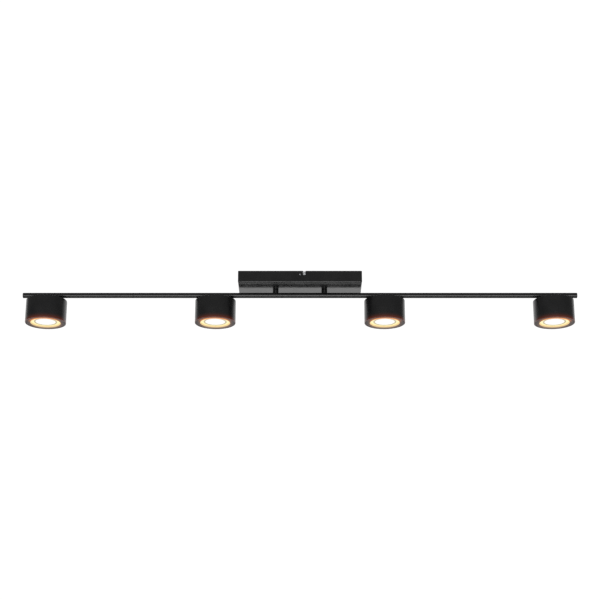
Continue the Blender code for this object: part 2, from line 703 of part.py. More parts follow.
def tilt_bracket_mesh():
    """Plate riveted under the can's top, with two folded lugs for the tilt pin."""
    top = HEAD_TOP - HEAD_WALL - GAP
    bottom = top - PLATE_THICKNESS
    reach = LUG_INNER + LUG_THICKNESS + PLATE_MARGIN
    half_depth = swing_half() + PLATE_MARGIN / 2
    plate = block("plate", (-reach, -half_depth, bottom), (reach, half_depth, top))
    plate = combine("plate", plate, cuts=[head_slot(bottom - ROOM, top + ROOM)])
    adds = []
    for side in SIDES.values():
        faces = sorted((side * (LUG_INNER + LUG_SET_BACK), side * (LUG_INNER + LUG_THICKNESS)))
        lug_low = (faces[0], -LUG_WIDTH / 2, PIVOT - LUG_TAIL)
        adds.append(block("lug", lug_low, (faces[1], LUG_WIDTH / 2, top - GAP)))
        x = side * rivet_reach()
        head_low = HEAD_TOP + GAP
        adds.append(rod("stem", RIVET_RADIUS, (x, 0, top - GAP), (x, 0, head_low + GAP), SMALL_SIDES))
        head_high = head_low + RIVET_HEAD_HEIGHT
        adds.append(rod("head", RIVET_HEAD_RADIUS, (x, 0, head_low), (x, 0, head_high), SMALL_SIDES))
    pin_hole = rod("pin_hole", PIN_RADIUS + GAP, (-reach, 0, PIVOT), (reach, 0, PIVOT))
    return combine("tilt_bracket", plate, adds=adds, cuts=[pin_hole])


def tilt_pin_mesh():
    """Pin through the lugs and the knuckle, with a formed head at each end."""
    near = LUG_INNER + LUG_THICKNESS + GAP
    far = near + PIN_HEAD_HEIGHT
    outline = [
        (0.0, far),
        (PIN_HEAD_RADIUS, far),
        (PIN_HEAD_RADIUS, near),
        (PIN_RADIUS, near),
        (PIN_RADIUS, -near),
        (PIN_HEAD_RADIUS, -near),
        (PIN_HEAD_RADIUS, -far),
        (0.0, -far),
    ]
    pin = turned("pin", outline, sides=SMALL_SIDES)
    pin.transform(Matrix.Rotation(math.radians(90), 4, "Y"))
    pin.transform(Matrix.Translation((0, 0, PIVOT)))
    return pin


def light_unit_meshes():
    """Trim ring, diffuser ring, lens, reflector, board and heat sink, from the front face inwards."""
    lens_front = HEAD_FRONT + RECESS
    lip_back = HEAD_FRONT + TRIM_LIP
    ledge = APERTURE + TRIM_LEDGE
    trim_outer = CAN_BORE - GAP
    trim = [
        (trim_outer, HEAD_FRONT + TRIM_HEIGHT),
        (trim_outer, HEAD_FRONT),
        (APERTURE, HEAD_FRONT),
        (APERTURE, lip_back),
        (ledge, lip_back),
        (ledge, HEAD_FRONT + TRIM_HEIGHT),
    ]
    ring_front = lip_back + GAP
    ring_back = ring_front + DIFFUSER_THICKNESS
    ring = [
        (ledge - GAP, ring_back),
        (ledge - GAP, ring_front),
        (LENS_RADIUS + GAP, ring_front),
        (LENS_RADIUS + GAP, ring_back),
    ]
    lens_back = lens_front + LENS_THICKNESS
    lens = [
        (0.0, lens_back),
        (LENS_RADIUS, lens_back),
        (LENS_RADIUS, lens_front),
        (LENS_RADIUS * LENS_SHOULDER, lens_front - LENS_DOME * (1 - LENS_SHOULDER**2)),
        (0.0, lens_front - LENS_DOME),
    ]
    mouth = max(lens_back, ring_back) + GAP
    throat = mouth + REFLECTOR_HEIGHT
    rim = ledge - GAP
    cone = [
        (REFLECTOR_THROAT + REFLECTOR_SHEET, throat),
        (rim - REFLECTOR_SHEET, mouth + REFLECTOR_SHEET),
        (rim, mouth + REFLECTOR_SHEET),
        (rim, mouth),
        (rim - 2 * REFLECTOR_SHEET, mouth),
        (REFLECTOR_THROAT, throat),
    ]
    board_front = throat + GAP
    board_back = board_front + BOARD_THICKNESS
    board = [
        (0.0, board_back),
        (BOARD_RADIUS, board_back),
        (BOARD_RADIUS, board_front),
        (CHIP_RADIUS, board_front),
        (CHIP_RADIUS, board_front - CHIP_HEIGHT),
        (0.0, board_front - CHIP_HEIGHT),
    ]
    sink_front = board_back + GAP
    sink_outer = CAN_BORE - GAP
    sink_inner = sink_outer - SINK_RIM_WIDTH
    sink_back = sink_front + SINK_BASE
    rim_back = sink_front + SINK_RIM_HEIGHT
    sink = [
        (0.0, sink_back),
        (sink_inner, sink_back),
        (sink_inner, rim_back),
        (sink_outer, rim_back),
        (sink_outer, sink_front),
        (0.0, sink_front),
    ]
    return {
        "trim_ring": (turned("trim", trim, sides=CAN_SIDES, closed=True), BLACK),
        "diffuser_ring": (turned("ring", ring, sides=CAN_SIDES, closed=True), RING_PLASTIC),
        "lens": (turned("lens", lens), LENS_PLASTIC),
        "reflector": (turned("cone", cone, closed=True), REFLECTOR_PLASTIC),
        "led_board": (turned("board", board), WHITE_BOARD),
        "heat_sink": (turned("sink", sink), ALUMINIUM),
    }


def build_heads():
    """The heads, which share their meshes. The knuckle turns on the pan axis, the can on the tilt axis."""
    fixed = {"socket": (socket_mesh(), BLACK)}
    panning = {"knuckle": (knuckle_mesh(), BLACK)}
    tilting = {
        "housing": (housing_mesh(), BLACK),
        "tilt_bracket": (tilt_bracket_mesh(), ZINC),
        "tilt_pin": (tilt_pin_mesh(), STEEL),
        **light_unit_meshes(),
    }
    for number, x in enumerate(HEAD_PLACES, start=1):
        name = f"head_{number}"
        bar_axis = joint_empty(f"{name}_place", (x, 0.0, BAR_AXIS))
        pan_axis = joint_empty(f"{name}_pan_axis", (x, 0.0, FLANGE_TOP))
        tilt_axis = joint_empty(f"{name}_tilt_axis", (x, 0.0, PIVOT))
        for axis, group in ((bar_axis, fixed), (pan_axis, panning), (tilt_axis, tilting)):
            for piece_name, (mesh, finish) in group.items():
                piece = part(f"{name}_{piece_name}", mesh, finish)
                piece.parent = axis
                piece.location.z = -axis.location.z


def main():
    start_scene()
    build_bracket()
    build_cover()
    build_cover_screws()
    build_earth_screw()
    build_driver()
    build_terminal_block()
    for name, side in SIDES.items():
        build_post(name, side)
        build_end_cap(name, side)
    build_bar()
    build_lead()
    build_heads()


main()
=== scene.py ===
"""Finished surfaces of the ceiling spot bar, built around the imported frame. Metres, +Z up."""

import json
import math

import bmesh
import bpy
from mathutils import Matrix, Vector


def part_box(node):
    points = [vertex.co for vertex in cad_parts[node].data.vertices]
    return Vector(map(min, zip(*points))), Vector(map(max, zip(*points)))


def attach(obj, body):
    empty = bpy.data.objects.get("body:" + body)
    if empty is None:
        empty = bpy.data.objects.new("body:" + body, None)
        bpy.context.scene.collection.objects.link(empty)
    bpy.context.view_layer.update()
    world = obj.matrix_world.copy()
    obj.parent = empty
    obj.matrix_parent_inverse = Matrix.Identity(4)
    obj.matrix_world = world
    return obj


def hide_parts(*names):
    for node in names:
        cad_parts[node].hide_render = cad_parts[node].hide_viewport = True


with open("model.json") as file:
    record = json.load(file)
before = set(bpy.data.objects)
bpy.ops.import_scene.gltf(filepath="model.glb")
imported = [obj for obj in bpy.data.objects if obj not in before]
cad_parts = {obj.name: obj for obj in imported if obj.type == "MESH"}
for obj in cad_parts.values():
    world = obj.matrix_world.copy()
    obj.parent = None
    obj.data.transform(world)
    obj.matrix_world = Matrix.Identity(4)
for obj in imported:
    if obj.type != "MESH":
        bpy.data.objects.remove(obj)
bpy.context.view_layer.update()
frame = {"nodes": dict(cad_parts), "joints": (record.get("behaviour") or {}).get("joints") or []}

# --- Sizes that the frame's boxes don't hold ----------------------------------------------------
GAP = 0.0003                  # the running gap between touching pieces
CANOPY_WALL = 0.0012
CANOPY_EDGE = 0.0022
NOTCH_WIDTH = 0.0046
NOTCH_HEIGHT = 0.0085
NOTCH_OFFSET = 0.0078
NOTCH_CORNER = 0.0009
COVER_SCREW_DROP = 0.0070
COVER_SCREW_RADIUS = 0.0015
SHEET = 0.0015                # bracket and lug thickness
STRAP_CORNER = 0.0040
TAB_CORNER = 0.0015
SLOT_WIDTH = 0.0050
SLOT_LENGTH = 0.0160
SLOT_SPACING = 0.084
CABLE_HOLE_RADIUS = 0.0045
CABLE_HOLE_OFFSET = 0.024
EARTH_HOLE_RADIUS = 0.0023
EARTH_THREAD_RADIUS = 0.0020
EARTH_HEAD = 0.0024           # height of the earth screw's head
BEND_RADIUS = 0.0010          # inside the bracket's folds
STUD_RADIUS = 0.0030
LEAD_BORE = 0.0017
THREAD_PITCH = 0.0008
THREAD_DEPTH = 0.0003
BAR_WALL = 0.0010
SADDLE_DEPTH = 0.0010         # how far a post reaches down round the bar
SPIGOT_RADIUS = 0.0030        # the socket's spigot in the bar
CAN_WALL = 0.0015
KNUCKLE_RADIUS = 0.0040
SWIVEL_RADIUS = 0.0020
FLANGE_HEIGHT = 0.0030
PIN_RADIUS = 0.0015
PIN_HEAD_RADIUS = 0.0026
PIN_HEAD_HEIGHT = 0.0016
TONGUE_WIDTH = 0.0076
TONGUE_DEPTH = 0.0070
SWING_CLEARANCE = 0.0006
TILT_LIMIT = math.radians(30)
PLATE_HEIGHT = 0.0012         # of the tilt bracket's plate
RIVET_RADIUS = 0.0014
RIVET_REACH = 0.0101
RIVET_HEAD_RADIUS = 0.0024
RIVET_HEAD_HEIGHT = 0.0008
LUG_INNER = KNUCKLE_RADIUS + SWING_CLEARANCE
LUG_HALF = 0.0042             # half the lugs' length along the slot
LUG_CORNER = 0.0034
TRIM_LEDGE = 0.0020           # how far the front ring's lip reaches in over the diffuser ring
TRIM_LIP = 0.0019             # height of that lip
CRISP = 0.0002                # rounding on sheet and turned edges
EASED = 0.0003
EDGE = 0.00035                # rounding on the posts and sockets
OVERRUN = 0.001               # how far a cutter passes the surface that it opens
WELD = 0.000003               # corners of a cut mesh this close to each other become one

FINE = 128                    # sides of a head's turned pieces
MEDIUM = 64
SMALL = 32
SHARP = math.radians(38)
HEADS = (1, 2, 3, 4)


# --- Mesh helpers -------------------------------------------------------------------------------
def new_object(name, mesh, location=(0.0, 0.0, 0.0)):
    piece = bpy.data.objects.new(name, mesh)
    piece.location = location
    bpy.context.scene.collection.objects.link(piece)
    return piece


def to_mesh(name, bm):
    bmesh.ops.recalc_face_normals(bm, faces=bm.faces)
    mesh = bpy.data.meshes.new(name)
    bm.to_mesh(mesh)
    bm.free()
    return mesh


def evaluated(piece):
    """Copy of a piece's mesh with its modifiers applied."""
    bpy.context.view_layer.update()
    depsgraph = bpy.context.evaluated_depsgraph_get()
    return bpy.data.meshes.new_from_object(piece.evaluated_get(depsgraph), depsgraph=depsgraph)


def polish(mesh):
    """Smooth shading that keeps flat faces flat: sharp edges by angle and area-weighted normals."""
    mesh.shade_smooth()
    mesh.set_sharp_from_angle(angle=SHARP)
    scratch = new_object("scratch", mesh)
    weighted = scratch.modifiers.new("weighted", "WEIGHTED_NORMAL")
    weighted.keep_sharp = True
    done = evaluated(scratch)
    done.name = mesh.name
    bpy.data.objects.remove(scratch)
    return done


def carve(mesh, adds=(), cuts=(), keeps=()):
    """Mesh cut down to keeps, then with adds joined to it, then with cuts taken from it."""
    base = new_object("scratch", mesh)
    tools = []
    for operation, group in (("INTERSECT", keeps), ("UNION", adds), ("DIFFERENCE", cuts)):
        for tool_mesh in group:
            tool = new_object("tool", tool_mesh)
            tools.append(tool)
            boolean = base.modifiers.new("cut", "BOOLEAN")
            boolean.operation = operation
            boolean.solver = "EXACT"
            boolean.object = tool
    done = evaluated(base)
    done.name = mesh.name
    for item in (base, *tools):
        bpy.data.objects.remove(item)
    weld(done)
    return done


def weld(mesh):
    """Closes the hairline slivers that a boolean leaves along its cuts."""
    bm = bmesh.new()
    bm.from_mesh(mesh)
    bmesh.ops.remove_doubles(bm, verts=bm.verts, dist=WELD)
    bmesh.ops.dissolve_degenerate(bm, edges=bm.edges, dist=WELD)
    bm.to_mesh(mesh)
    bm.free()


def rounded(corners, closed=False, steps=5):
    """Outline with arcs. A corner is (a, b) when sharp, or (a, b, radius)."""
    outline = []
    count = len(corners)
    for i, corner in enumerate(corners):
        point = Vector(corner[:2])
        radius = corner[2] if len(corner) > 2 else 0.0
        if radius == 0.0 or (not closed and i in (0, count - 1)):
            outline.append(point)
            continue
        back = Vector(corners[i - 1][:2]) - point
        ahead = Vector(corners[(i + 1) % count][:2]) - point
        half = back.angle(ahead) / 2
        reach = min(radius / math.tan(half), back.length * 0.49, ahead.length * 0.49)
        radius = reach * math.tan(half)
        centre = point + (back.normalized() + ahead.normalized()).normalized() * radius / math.sin(half)
        start = point + back.normalized() * reach - centre
        end = point + ahead.normalized() * reach - centre
        turn = start.angle_signed(end)
        for step in range(steps + 1):
            angle = -turn * step / steps
            spun = Matrix.Rotation(angle, 2) @ start
            outline.append(centre + spun)
    return outline


def lathe(name, outline, sides=MEDIUM, closed=False, centre=(0.0, 0.0)):
    """Outline of (radius, height) points turned about an upright axis. A flat end is one face."""
    bm = bmesh.new()
    rings = []
    for radius, height in outline:
        if radius < 1e-6:
            rings.append([bm.verts.new((centre[0], centre[1], height))])
            continue
        ring = []
        for side in range(sides):
            angle = 2 * math.pi * side / sides
            x = centre[0] + radius * math.cos(angle)
            y = centre[1] + radius * math.sin(angle)
            ring.append(bm.verts.new((x, y, height)))
        rings.append(ring)
    pairs = list(zip(rings, rings[1:]))
    if closed:
        pairs.append((rings[-1], rings[0]))
    for upper, lower in pairs:
        if len(upper) == 1 and len(lower) == 1:
            continue
        if 1 in (len(upper), len(lower)) and abs(upper[0].co.z - lower[0].co.z) < 1e-9:
            bm.faces.new(lower if len(upper) == 1 else upper)
            continue
        for side in range(sides):
            after = (side + 1) % sides
            corners = [upper[0]] if len(upper) == 1 else [upper[side], upper[after]]
            corners += [lower[0]] if len(lower) == 1 else [lower[after], lower[side]]
            bm.faces.new(corners)
    bmesh.ops.delete(bm, geom=[v for v in bm.verts if not v.link_faces], context="VERTS")
    return to_mesh(name, bm)


def block(low, high):
    """Box from low to high, as a mesh that is still being edited."""
    low, high = Vector(low), Vector(high)
    bm = bmesh.new()
    bmesh.ops.create_cube(bm, size=1.0)
    bmesh.ops.scale(bm, vec=high - low, verts=bm.verts)
    bmesh.ops.translate(bm, vec=(low + high) / 2, verts=bm.verts)
    return bm


def slab(name, low, high, edge=0.0, steps=3, only=None):
    """Box with rounded edges. only picks the edges by their direction: "X", "Y" or "Z"."""
    bm = block(low, high)
    if edge > 0:
        chosen = bm.edges[:]
        if only:
            axis = "XYZ".index(only)
            chosen = [e for e in chosen if abs((e.verts[0].co - e.verts[1].co)[axis]) > 1e-7]
        bmesh.ops.bevel(bm, geom=chosen, offset=edge, segments=steps, profile=0.5, affect="EDGES")
    return to_mesh(name, bm)


def extrude(outline, low, high):
    """Flat outline of (x, y) points raised from low to high, as a mesh that is still being edited."""
    bm = bmesh.new()
    floor = bm.faces.new([bm.verts.new((x, y, low)) for x, y in outline])
    raised = bmesh.ops.extrude_face_region(bm, geom=[floor])["geom"]
    corners = [item for item in raised if isinstance(item, bmesh.types.BMVert)]
    bmesh.ops.translate(bm, vec=(0, 0, high - low), verts=corners)
    return bm


def prism(name, outline, low, high, edge=0.0, steps=2):
    """Flat outline raised from low to high, with its rims rounded by edge."""
    bm = extrude(outline, low, high)
    if edge > 0:
        rims = [e for e in bm.edges if abs(e.verts[0].co.z - e.verts[1].co.z) < 1e-7]
        bmesh.ops.bevel(bm, geom=rims, offset=edge, segments=steps, profile=0.5, affect="EDGES")
    return to_mesh(name, bm)


def stadium(width, length, along="X", centre=(0.0, 0.0), sides=MEDIUM):
    """Outline of a slot with round ends. Its length includes them."""
    half = sides // 2
    radius = width / 2
    reach = length / 2 - radius
    outline = []
    for end in (1, -1):
        for step in range(half + 1):
            angle = math.pi * (step / half - 0.5)
            outline.append((end * (reach + radius * math.cos(angle)), end * radius * math.sin(angle)))
    if along == "Y":
        outline = [(-y, x) for x, y in outline]
    return [(x + centre[0], y + centre[1]) for x, y in outline]


def rod(name, radius, start, end, sides=SMALL):
    """Closed cylinder. A many-sided one is turned by half a side, so cuts miss each other's corners."""
    start, end = Vector(start), Vector(end)
    turn = Vector((0, 0, 1)).rotation_difference(end - start).to_matrix().to_4x4()
    if sides > 6:
        turn = turn @ Matrix.Rotation(math.pi / sides, 4, "Z")
    bm = bmesh.new()
    bmesh.ops.create_cone(
        bm,
        cap_ends=True,
        segments=sides,
        radius1=radius,
        radius2=radius,
        depth=(end - start).length,
        matrix=Matrix.Translation((start + end) / 2) @ turn,
    )
    return to_mesh(name, bm)


def turned_to_x(mesh, height, quarter=1):
    """Turns an upright mesh onto the X axis by quarter turns, then lifts it to height."""
    mesh.transform(Matrix.Rotation(quarter * math.pi / 2, 4, "Y"))
    mesh.transform(Matrix.Translation((0, 0, height)))
    return mesh


def across_x(name, outline, low, high, edge):
    """Outline of (y, z) points raised along X from low to high."""
    mesh = prism(name, outline, low, high, edge)
    mesh.transform(Matrix(((0, 0, 1, 0), (1, 0, 0, 0), (0, 1, 0, 0), (0, 0, 0, 1))))
    return mesh


def thread(radius, top, bottom):
    """Points down a threaded stretch, as fine rings."""
    points = []
    count = max(1, round((top - bottom) / THREAD_PITCH))
    pitch = (top - bottom) / count
    for turn in range(count):
        points.append((radius - THREAD_DEPTH, top - turn * pitch))
        points.append((radius, top - (turn + 0.5) * pitch))
    points.append((radius - THREAD_DEPTH, bottom))
    return points


def fit(name, mesh, material, body, node, location=(0.0, 0.0, 0.0)):
    """Finished piece that rides on a body and stands for a CAD node."""
    piece = new_object(name, mesh, location)
    if not mesh.materials:
        mesh.materials.append(material)
    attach(piece, body)
    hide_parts(node)


# --- Places -------------------------------------------------------------------------------------
def centre_x(node):
    low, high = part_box(node)
    return (low.x + high.x) / 2


def half_width(node):
    low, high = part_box(node)
    return (high.x - low.x) / 2


def bar_sizes():
    """Height of the bar's axis and its outer radius."""
    low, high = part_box("bar_end_cap_left")
    return (low.z + high.z) / 2, (high.z - low.z) / 2


def saddle():
    """Cutter for the hollow by which a piece sits on the bar."""
    axis, radius = bar_sizes()
    return rod("saddle", radius + GAP, (-0.02, 0, axis), (0.02, 0, axis), MEDIUM)


def joint_height(name):
    return [joint for joint in frame["joints"] if joint["name"] == name][0]["pos_m"][2]


def head_slot(low, high):
    """Cutter for the slot that the swivel needs at the tilt limit."""
    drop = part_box("head_1_housing")[1].z - joint_height("head_1_tilt")
    height = (drop + KNUCKLE_RADIUS * math.sin(TILT_LIMIT)) / math.cos(TILT_LIMIT)
    half = KNUCKLE_RADIUS * math.cos(TILT_LIMIT) + height * math.sin(TILT_LIMIT) + SWING_CLEARANCE
    return prism("slot", stadium(2 * (KNUCKLE_RADIUS + SWING_CLEARANCE), 2 * half, along="Y"), low, high)


# --- Materials ----------------------------------------------------------------------------------
class Tree:
    """A node tree with short calls for the nodes used here."""

    def __init__(self, tree):
        self.tree = tree

    def feed(self, socket, value):
        """Sets a socket to a number, colour or vector, or links another node's output to it."""
        if isinstance(value, (int, float)):
            socket.default_value = value
        elif isinstance(value, tuple):
            socket.default_value = (*value, 1.0) if socket.type == "RGBA" else value
        else:
            self.tree.links.new(value, socket)

    def add(self, kind, inputs=None, **settings):
        node = self.tree.nodes.new(kind)
        for key, value in settings.items():
            setattr(node, key, value)
        for key, value in (inputs or {}).items():
            self.feed(node.inputs[key], value)
        return node

    def span(self, value, low, high, to_low, to_high, curve="LINEAR"):
        """Maps low..high onto to_low..to_high, and holds the ends beyond."""
        inputs = {"Value": value, "From Min": low, "From Max": high, "To Min": to_low, "To Max": to_high}
        return self.add("ShaderNodeMapRange", inputs, interpolation_type=curve).outputs["Result"]

    def math(self, operation, first, second):
        return self.add("ShaderNodeMath", {0: first, 1: second}, operation=operation).outputs["Value"]

    def dot(self, first, second):
        inputs = {0: first, 1: second}
        return self.add("ShaderNodeVectorMath", inputs, operation="DOT_PRODUCT").outputs["Value"]


class Nodes(Tree):
    """A new material's tree, with its shader and the piece's own coordinates."""

    def __init__(self, name):
        self.material = bpy.data.materials.new(name)
        self.material.use_nodes = True
        super().__init__(self.material.node_tree)
        self.shader = self.tree.nodes["Principled BSDF"]
        self.point = self.add("ShaderNodeTexCoord").outputs["Object"]

    def noise(self, scale, detail=4.0, roughness=0.55, point=None):
        inputs = {"Scale": scale, "Detail": detail, "Roughness": roughness, "Vector": point or self.point}
        return self.add("ShaderNodeTexNoise", inputs).outputs["Fac"]

    def drawn(self, stretch):
        """Coordinates that draw a texture out along the axes where stretch is small."""
        return self.add("ShaderNodeMapping", {"Scale": stretch, "Vector": self.point}).outputs["Vector"]

    def cells(self, scale):
        return self.add("ShaderNodeTexVoronoi", {"Scale": scale, "Vector": self.point}).outputs["Distance"]

    def ramp(self, value, stops):
        """Colour ramp from (place, colour) pairs."""
        node = self.add("ShaderNodeValToRGB", {"Fac": value})
        elements = node.color_ramp.elements
        while len(elements) < len(stops):
            elements.new(0.5)
        for element, (place, colour) in zip(elements, stops):
            element.position = place
            element.color = (*colour, 1.0)
        return node.outputs["Color"]

    def blend(self, factor, first, second):
        inputs = {"Factor": factor, 6: first, 7: second}
        return self.add("ShaderNodeMix", inputs, data_type="RGBA").outputs[2]

    def bump(self, height, distance, strength=1.0, after=None):
        inputs = {"Height": height, "Distance": distance, "Strength": strength}
        if after is not None:
            inputs["Normal"] = after
        return self.add("ShaderNodeBump", inputs).outputs["Normal"]

    def place(self, axis):
        """The point's coordinate on the piece's own X, Y or Z axis."""
        return self.add("ShaderNodeSeparateXYZ", {"Vector": self.point}).outputs[axis]

    def radius(self):
        """Distance from the piece's own upright axis."""
        across = self.math("MULTIPLY", self.place("X"), self.place("X"))
        deep = self.math("MULTIPLY", self.place("Y"), self.place("Y"))
        return self.math("SQRT", self.math("ADD", across, deep), 0.0)

    def edges(self, width):
        """1 along convex edges within width, 0 on open surface."""
        bevel = self.add("ShaderNodeBevel", {"Radius": width}, samples=6)
        flat = self.add("ShaderNodeNewGeometry").outputs["Normal"]
        return self.span(self.dot(bevel.outputs["Normal"], flat), 0.999, 0.93, 0.0, 1.0)

    def set(self, **values):
        for name, value in values.items():
            self.feed(self.shader.inputs[name.replace("_", " ")], value)


def powder_black(name, wear=0.5, roughness=0.27, ior=1.5, texture=0.08, edge=0.0006, glow=None):
    """Satin black powder coat: fine orange peel, patchy sheen, faint wear on the edges.

    glow adds painted glow: emission that stands in for the light that spills onto the paint from the lens.
    """
    n = Nodes(name)
    blotch = n.noise(38.0, 3.0)
    grain = n.noise(2600.0, 2.0)
    peel = n.noise(900.0, 2.0)
    colour = n.ramp(blotch, [(0.35, (0.0075, 0.0075, 0.0080)), (0.65, (0.0125, 0.0125, 0.0128))])
    rubbed = n.math("MULTIPLY", n.edges(edge), n.span(n.noise(420.0, 5.0), 0.48, 0.66, 0.0, wear))
    sheen = n.span(blotch, 0.3, 0.7, roughness - 0.04, roughness + 0.04)
    n.set(Base_Color=n.blend(rubbed, colour, (0.06, 0.058, 0.055)))
    n.set(Roughness=n.math("ADD", sheen, n.math("MULTIPLY", rubbed, 0.15)))
    n.set(IOR=ior)
    n.set(Normal=n.bump(grain, 0.000005, texture, n.bump(peel, 0.00001, texture)))
    if glow:
        glow(n)
    return n.material


def can_painted_glow(n):
    """Painted glow standing in for red light at the can's front edge, most of it on the side that faces the
    room.
    """
    radius = half_width("head_1_housing")
    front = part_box("head_1_housing")[0].z
    reach = 0.012
    # Painted glow: emission that fades from the front rim and is strongest on the near side.
    height = n.math("POWER", n.span(n.place("Z"), front, front + reach, 1.0, 0.0), 3.0)
    near = n.span(n.place("Y"), 0.0, -radius, 0.3, 1.0)
    n.set(Emission_Color=(1.0, 0.13, 0.01))
    n.set(Emission_Strength=n.math("MULTIPLY", n.math("MULTIPLY", height, near), 0.13))


def trim_painted_glow(n):
    """Painted lens light on the front ring: emission bright in its mouth, orange at the near side, brown at
    the far.
    """
    outer = half_width("head_1_trim_ring")
    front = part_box("head_1_trim_ring")[0].z
    mouth = half_width("head_1_diffuser_ring") + GAP - TRIM_LEDGE
    radius = n.radius()
    face = n.math("POWER", n.span(radius, mouth, outer, 1.0, 0.0), 1.6)
    near = n.span(n.place("Y"), -0.2 * outer, -0.75 * outer, 0.0, 1.0)
    far = n.span(n.place("Y"), 0.2 * outer, 0.75 * outer, 0.0, 1.0)
    # Painted glow of the lens light: strongest on the near side, weak on the far side, faint all round.
    weight = n.math("ADD", n.math("MULTIPLY", near, 1.3), n.math("MULTIPLY", far, 0.24))
    weight = n.math("ADD", weight, 0.09)
    # Painted highlight of the lens light on the mouth's lip.
    lip = n.span(radius, mouth + 0.00025, mouth + 0.00005, 0.0, 1.0)
    lip = n.math("MULTIPLY", lip, n.span(n.place("Z"), front, front + 0.0016, 0.35, 1.0))
    tint = n.blend(far, (1.0, 0.27, 0.02), (1.0, 0.50, 0.27))
    n.set(Emission_Color=n.blend(n.math("GREATER_THAN", lip, 0.0), tint, (1.0, 0.78, 0.45)))
    n.set(Emission_Strength=n.math("MAXIMUM", n.math("MULTIPLY", face, weight), lip))


def zinc(name):
    """Bright zinc plate with a faint spangle, drawn lines and fingermark-dull patches."""
    n = Nodes(name)
    tone = n.span(n.cells(260.0), 0.0, 0.8, 0.0, 1.0)
    lines = n.noise(900.0, 3.0, 0.5, n.drawn((0.04, 1.0, 1.0)))
    colour = n.ramp(tone, [(0.0, (0.74, 0.75, 0.77)), (1.0, (0.86, 0.87, 0.88))])
    rough = n.math("ADD", n.span(n.noise(60.0), 0.3, 0.7, 0.22, 0.36), n.span(lines, 0.3, 0.7, 0.0, 0.08))
    n.set(Base_Color=colour, Metallic=0.5, Roughness=rough)
    n.set(Normal=n.bump(lines, 0.00002, 0.25))
    return n.material


def turned_metal(name, light, dark, roughness, rings=9000.0):
    """Metal with fine lathe rings round the piece's own upright axis."""
    n = Nodes(name)
    radius = n.radius()
    wave = n.math("SINE", n.math("MULTIPLY", radius, rings), 0.0)
    colour = n.ramp(n.noise(70.0), [(0.3, dark), (0.7, light)])
    n.set(Base_Color=colour, Metallic=1.0)
    n.set(Roughness=n.span(n.noise(220.0), 0.3, 0.7, roughness - 0.06, roughness + 0.08))
    n.set(Normal=n.bump(wave, 0.000012, 0.5))
    return n.material


def moulded(name, light, dark, roughness=0.42):
    """Moulded plastic with a fine spark-eroded grain."""
    n = Nodes(name)
    colour = n.ramp(n.noise(45.0), [(0.35, dark), (0.65, light)])
    n.set(Base_Color=colour, Roughness=n.span(n.noise(300.0), 0.3, 0.7, roughness - 0.06, roughness + 0.08))
    n.set(Normal=n.bump(n.noise(2200.0, 2.0), 0.00003, 0.4))
    n.set(Subsurface_Weight=0.04, Subsurface_Scale=0.001)
    return n.material


def lit_lens(name, reach):
    """Opal lens, lit from behind: brightest in the middle, warmer at its rim."""
    n = Nodes(name)
    stops = [(0.0, (1.0, 0.995, 0.98)), (0.89, (1.0, 0.985, 0.95))]
    stops += [(0.925, (0.80, 0.70, 0.48)), (0.945, (0.45, 0.37, 0.24))]
    glow = n.ramp(n.math("DIVIDE", n.radius(), reach), stops)
    n.set(Base_Color=(0.18, 0.18, 0.17), Emission_Color=glow, Emission_Strength=0.79)
    n.set(Roughness=n.span(n.noise(300.0), 0.3, 0.7, 0.22, 0.34))
    n.set(Normal=n.bump(n.cells(900.0), 0.00006, 0.5))
    return n.material


def lit_ring(name, inner, outer):
    """Satin ring round the lens, lit from behind: pale warm yellow, finely pebbled."""
    n = Nodes(name)
    stops = [(0.0, (0.42, 0.34, 0.21)), (0.13, (0.46, 0.38, 0.23)), (0.22, (0.97, 0.88, 0.46))]
    stops += [(0.55, (1.0, 0.90, 0.47)), (0.85, (0.98, 0.79, 0.34)), (1.0, (0.86, 0.50, 0.15))]
    glow = n.ramp(n.span(n.radius(), inner, outer, 0.0, 1.0), stops)
    n.set(Base_Color=(0.14, 0.12, 0.07), Emission_Color=glow)
    n.set(Emission_Strength=n.span(n.noise(130.0, 2.0), 0.3, 0.7, 0.82, 0.93))
    n.set(Roughness=n.span(n.noise(300.0), 0.3, 0.7, 0.30, 0.44))
    n.set(Normal=n.bump(n.cells(700.0), 0.00006, 0.5))
    return n.material


def build_materials():
    return {
        "black": powder_black("black_powder_coat", roughness=0.21),
        "black_bar": powder_black("black_bar_coat", wear=0.2, texture=0.03, edge=0.00015),
        # The can and trim coats carry painted glow of the lens light.
        "black_can": powder_black("black_can_coat_painted_glow", glow=can_painted_glow),
        "black_trim": powder_black("black_trim_coat_painted_glow", wear=0.3, roughness=0.50, ior=1.46, glow=trim_painted_glow),
        "zinc": zinc("zinc_plate_finish"),
        "steel": turned_metal("bright_steel_finish", (0.62, 0.62, 0.63), (0.48, 0.48, 0.50), 0.24),
        "brass": turned_metal("brass_finish", (0.78, 0.60, 0.28), (0.62, 0.45, 0.18), 0.26),
        "aluminium": turned_metal("aluminium_finish", (0.72, 0.73, 0.74), (0.58, 0.59, 0.60), 0.34),
        "white": moulded("white_moulding", (0.82, 0.82, 0.80), (0.74, 0.74, 0.71)),
        "lead": moulded("lead_sleeve_finish", (0.80, 0.79, 0.74), (0.70, 0.68, 0.62), 0.5),
        "bright": moulded("reflector_finish", (0.90, 0.90, 0.90), (0.84, 0.84, 0.83), 0.18),
        "board": moulded("board_mask_finish", (0.88, 0.88, 0.84), (0.80, 0.80, 0.76), 0.32),
    }


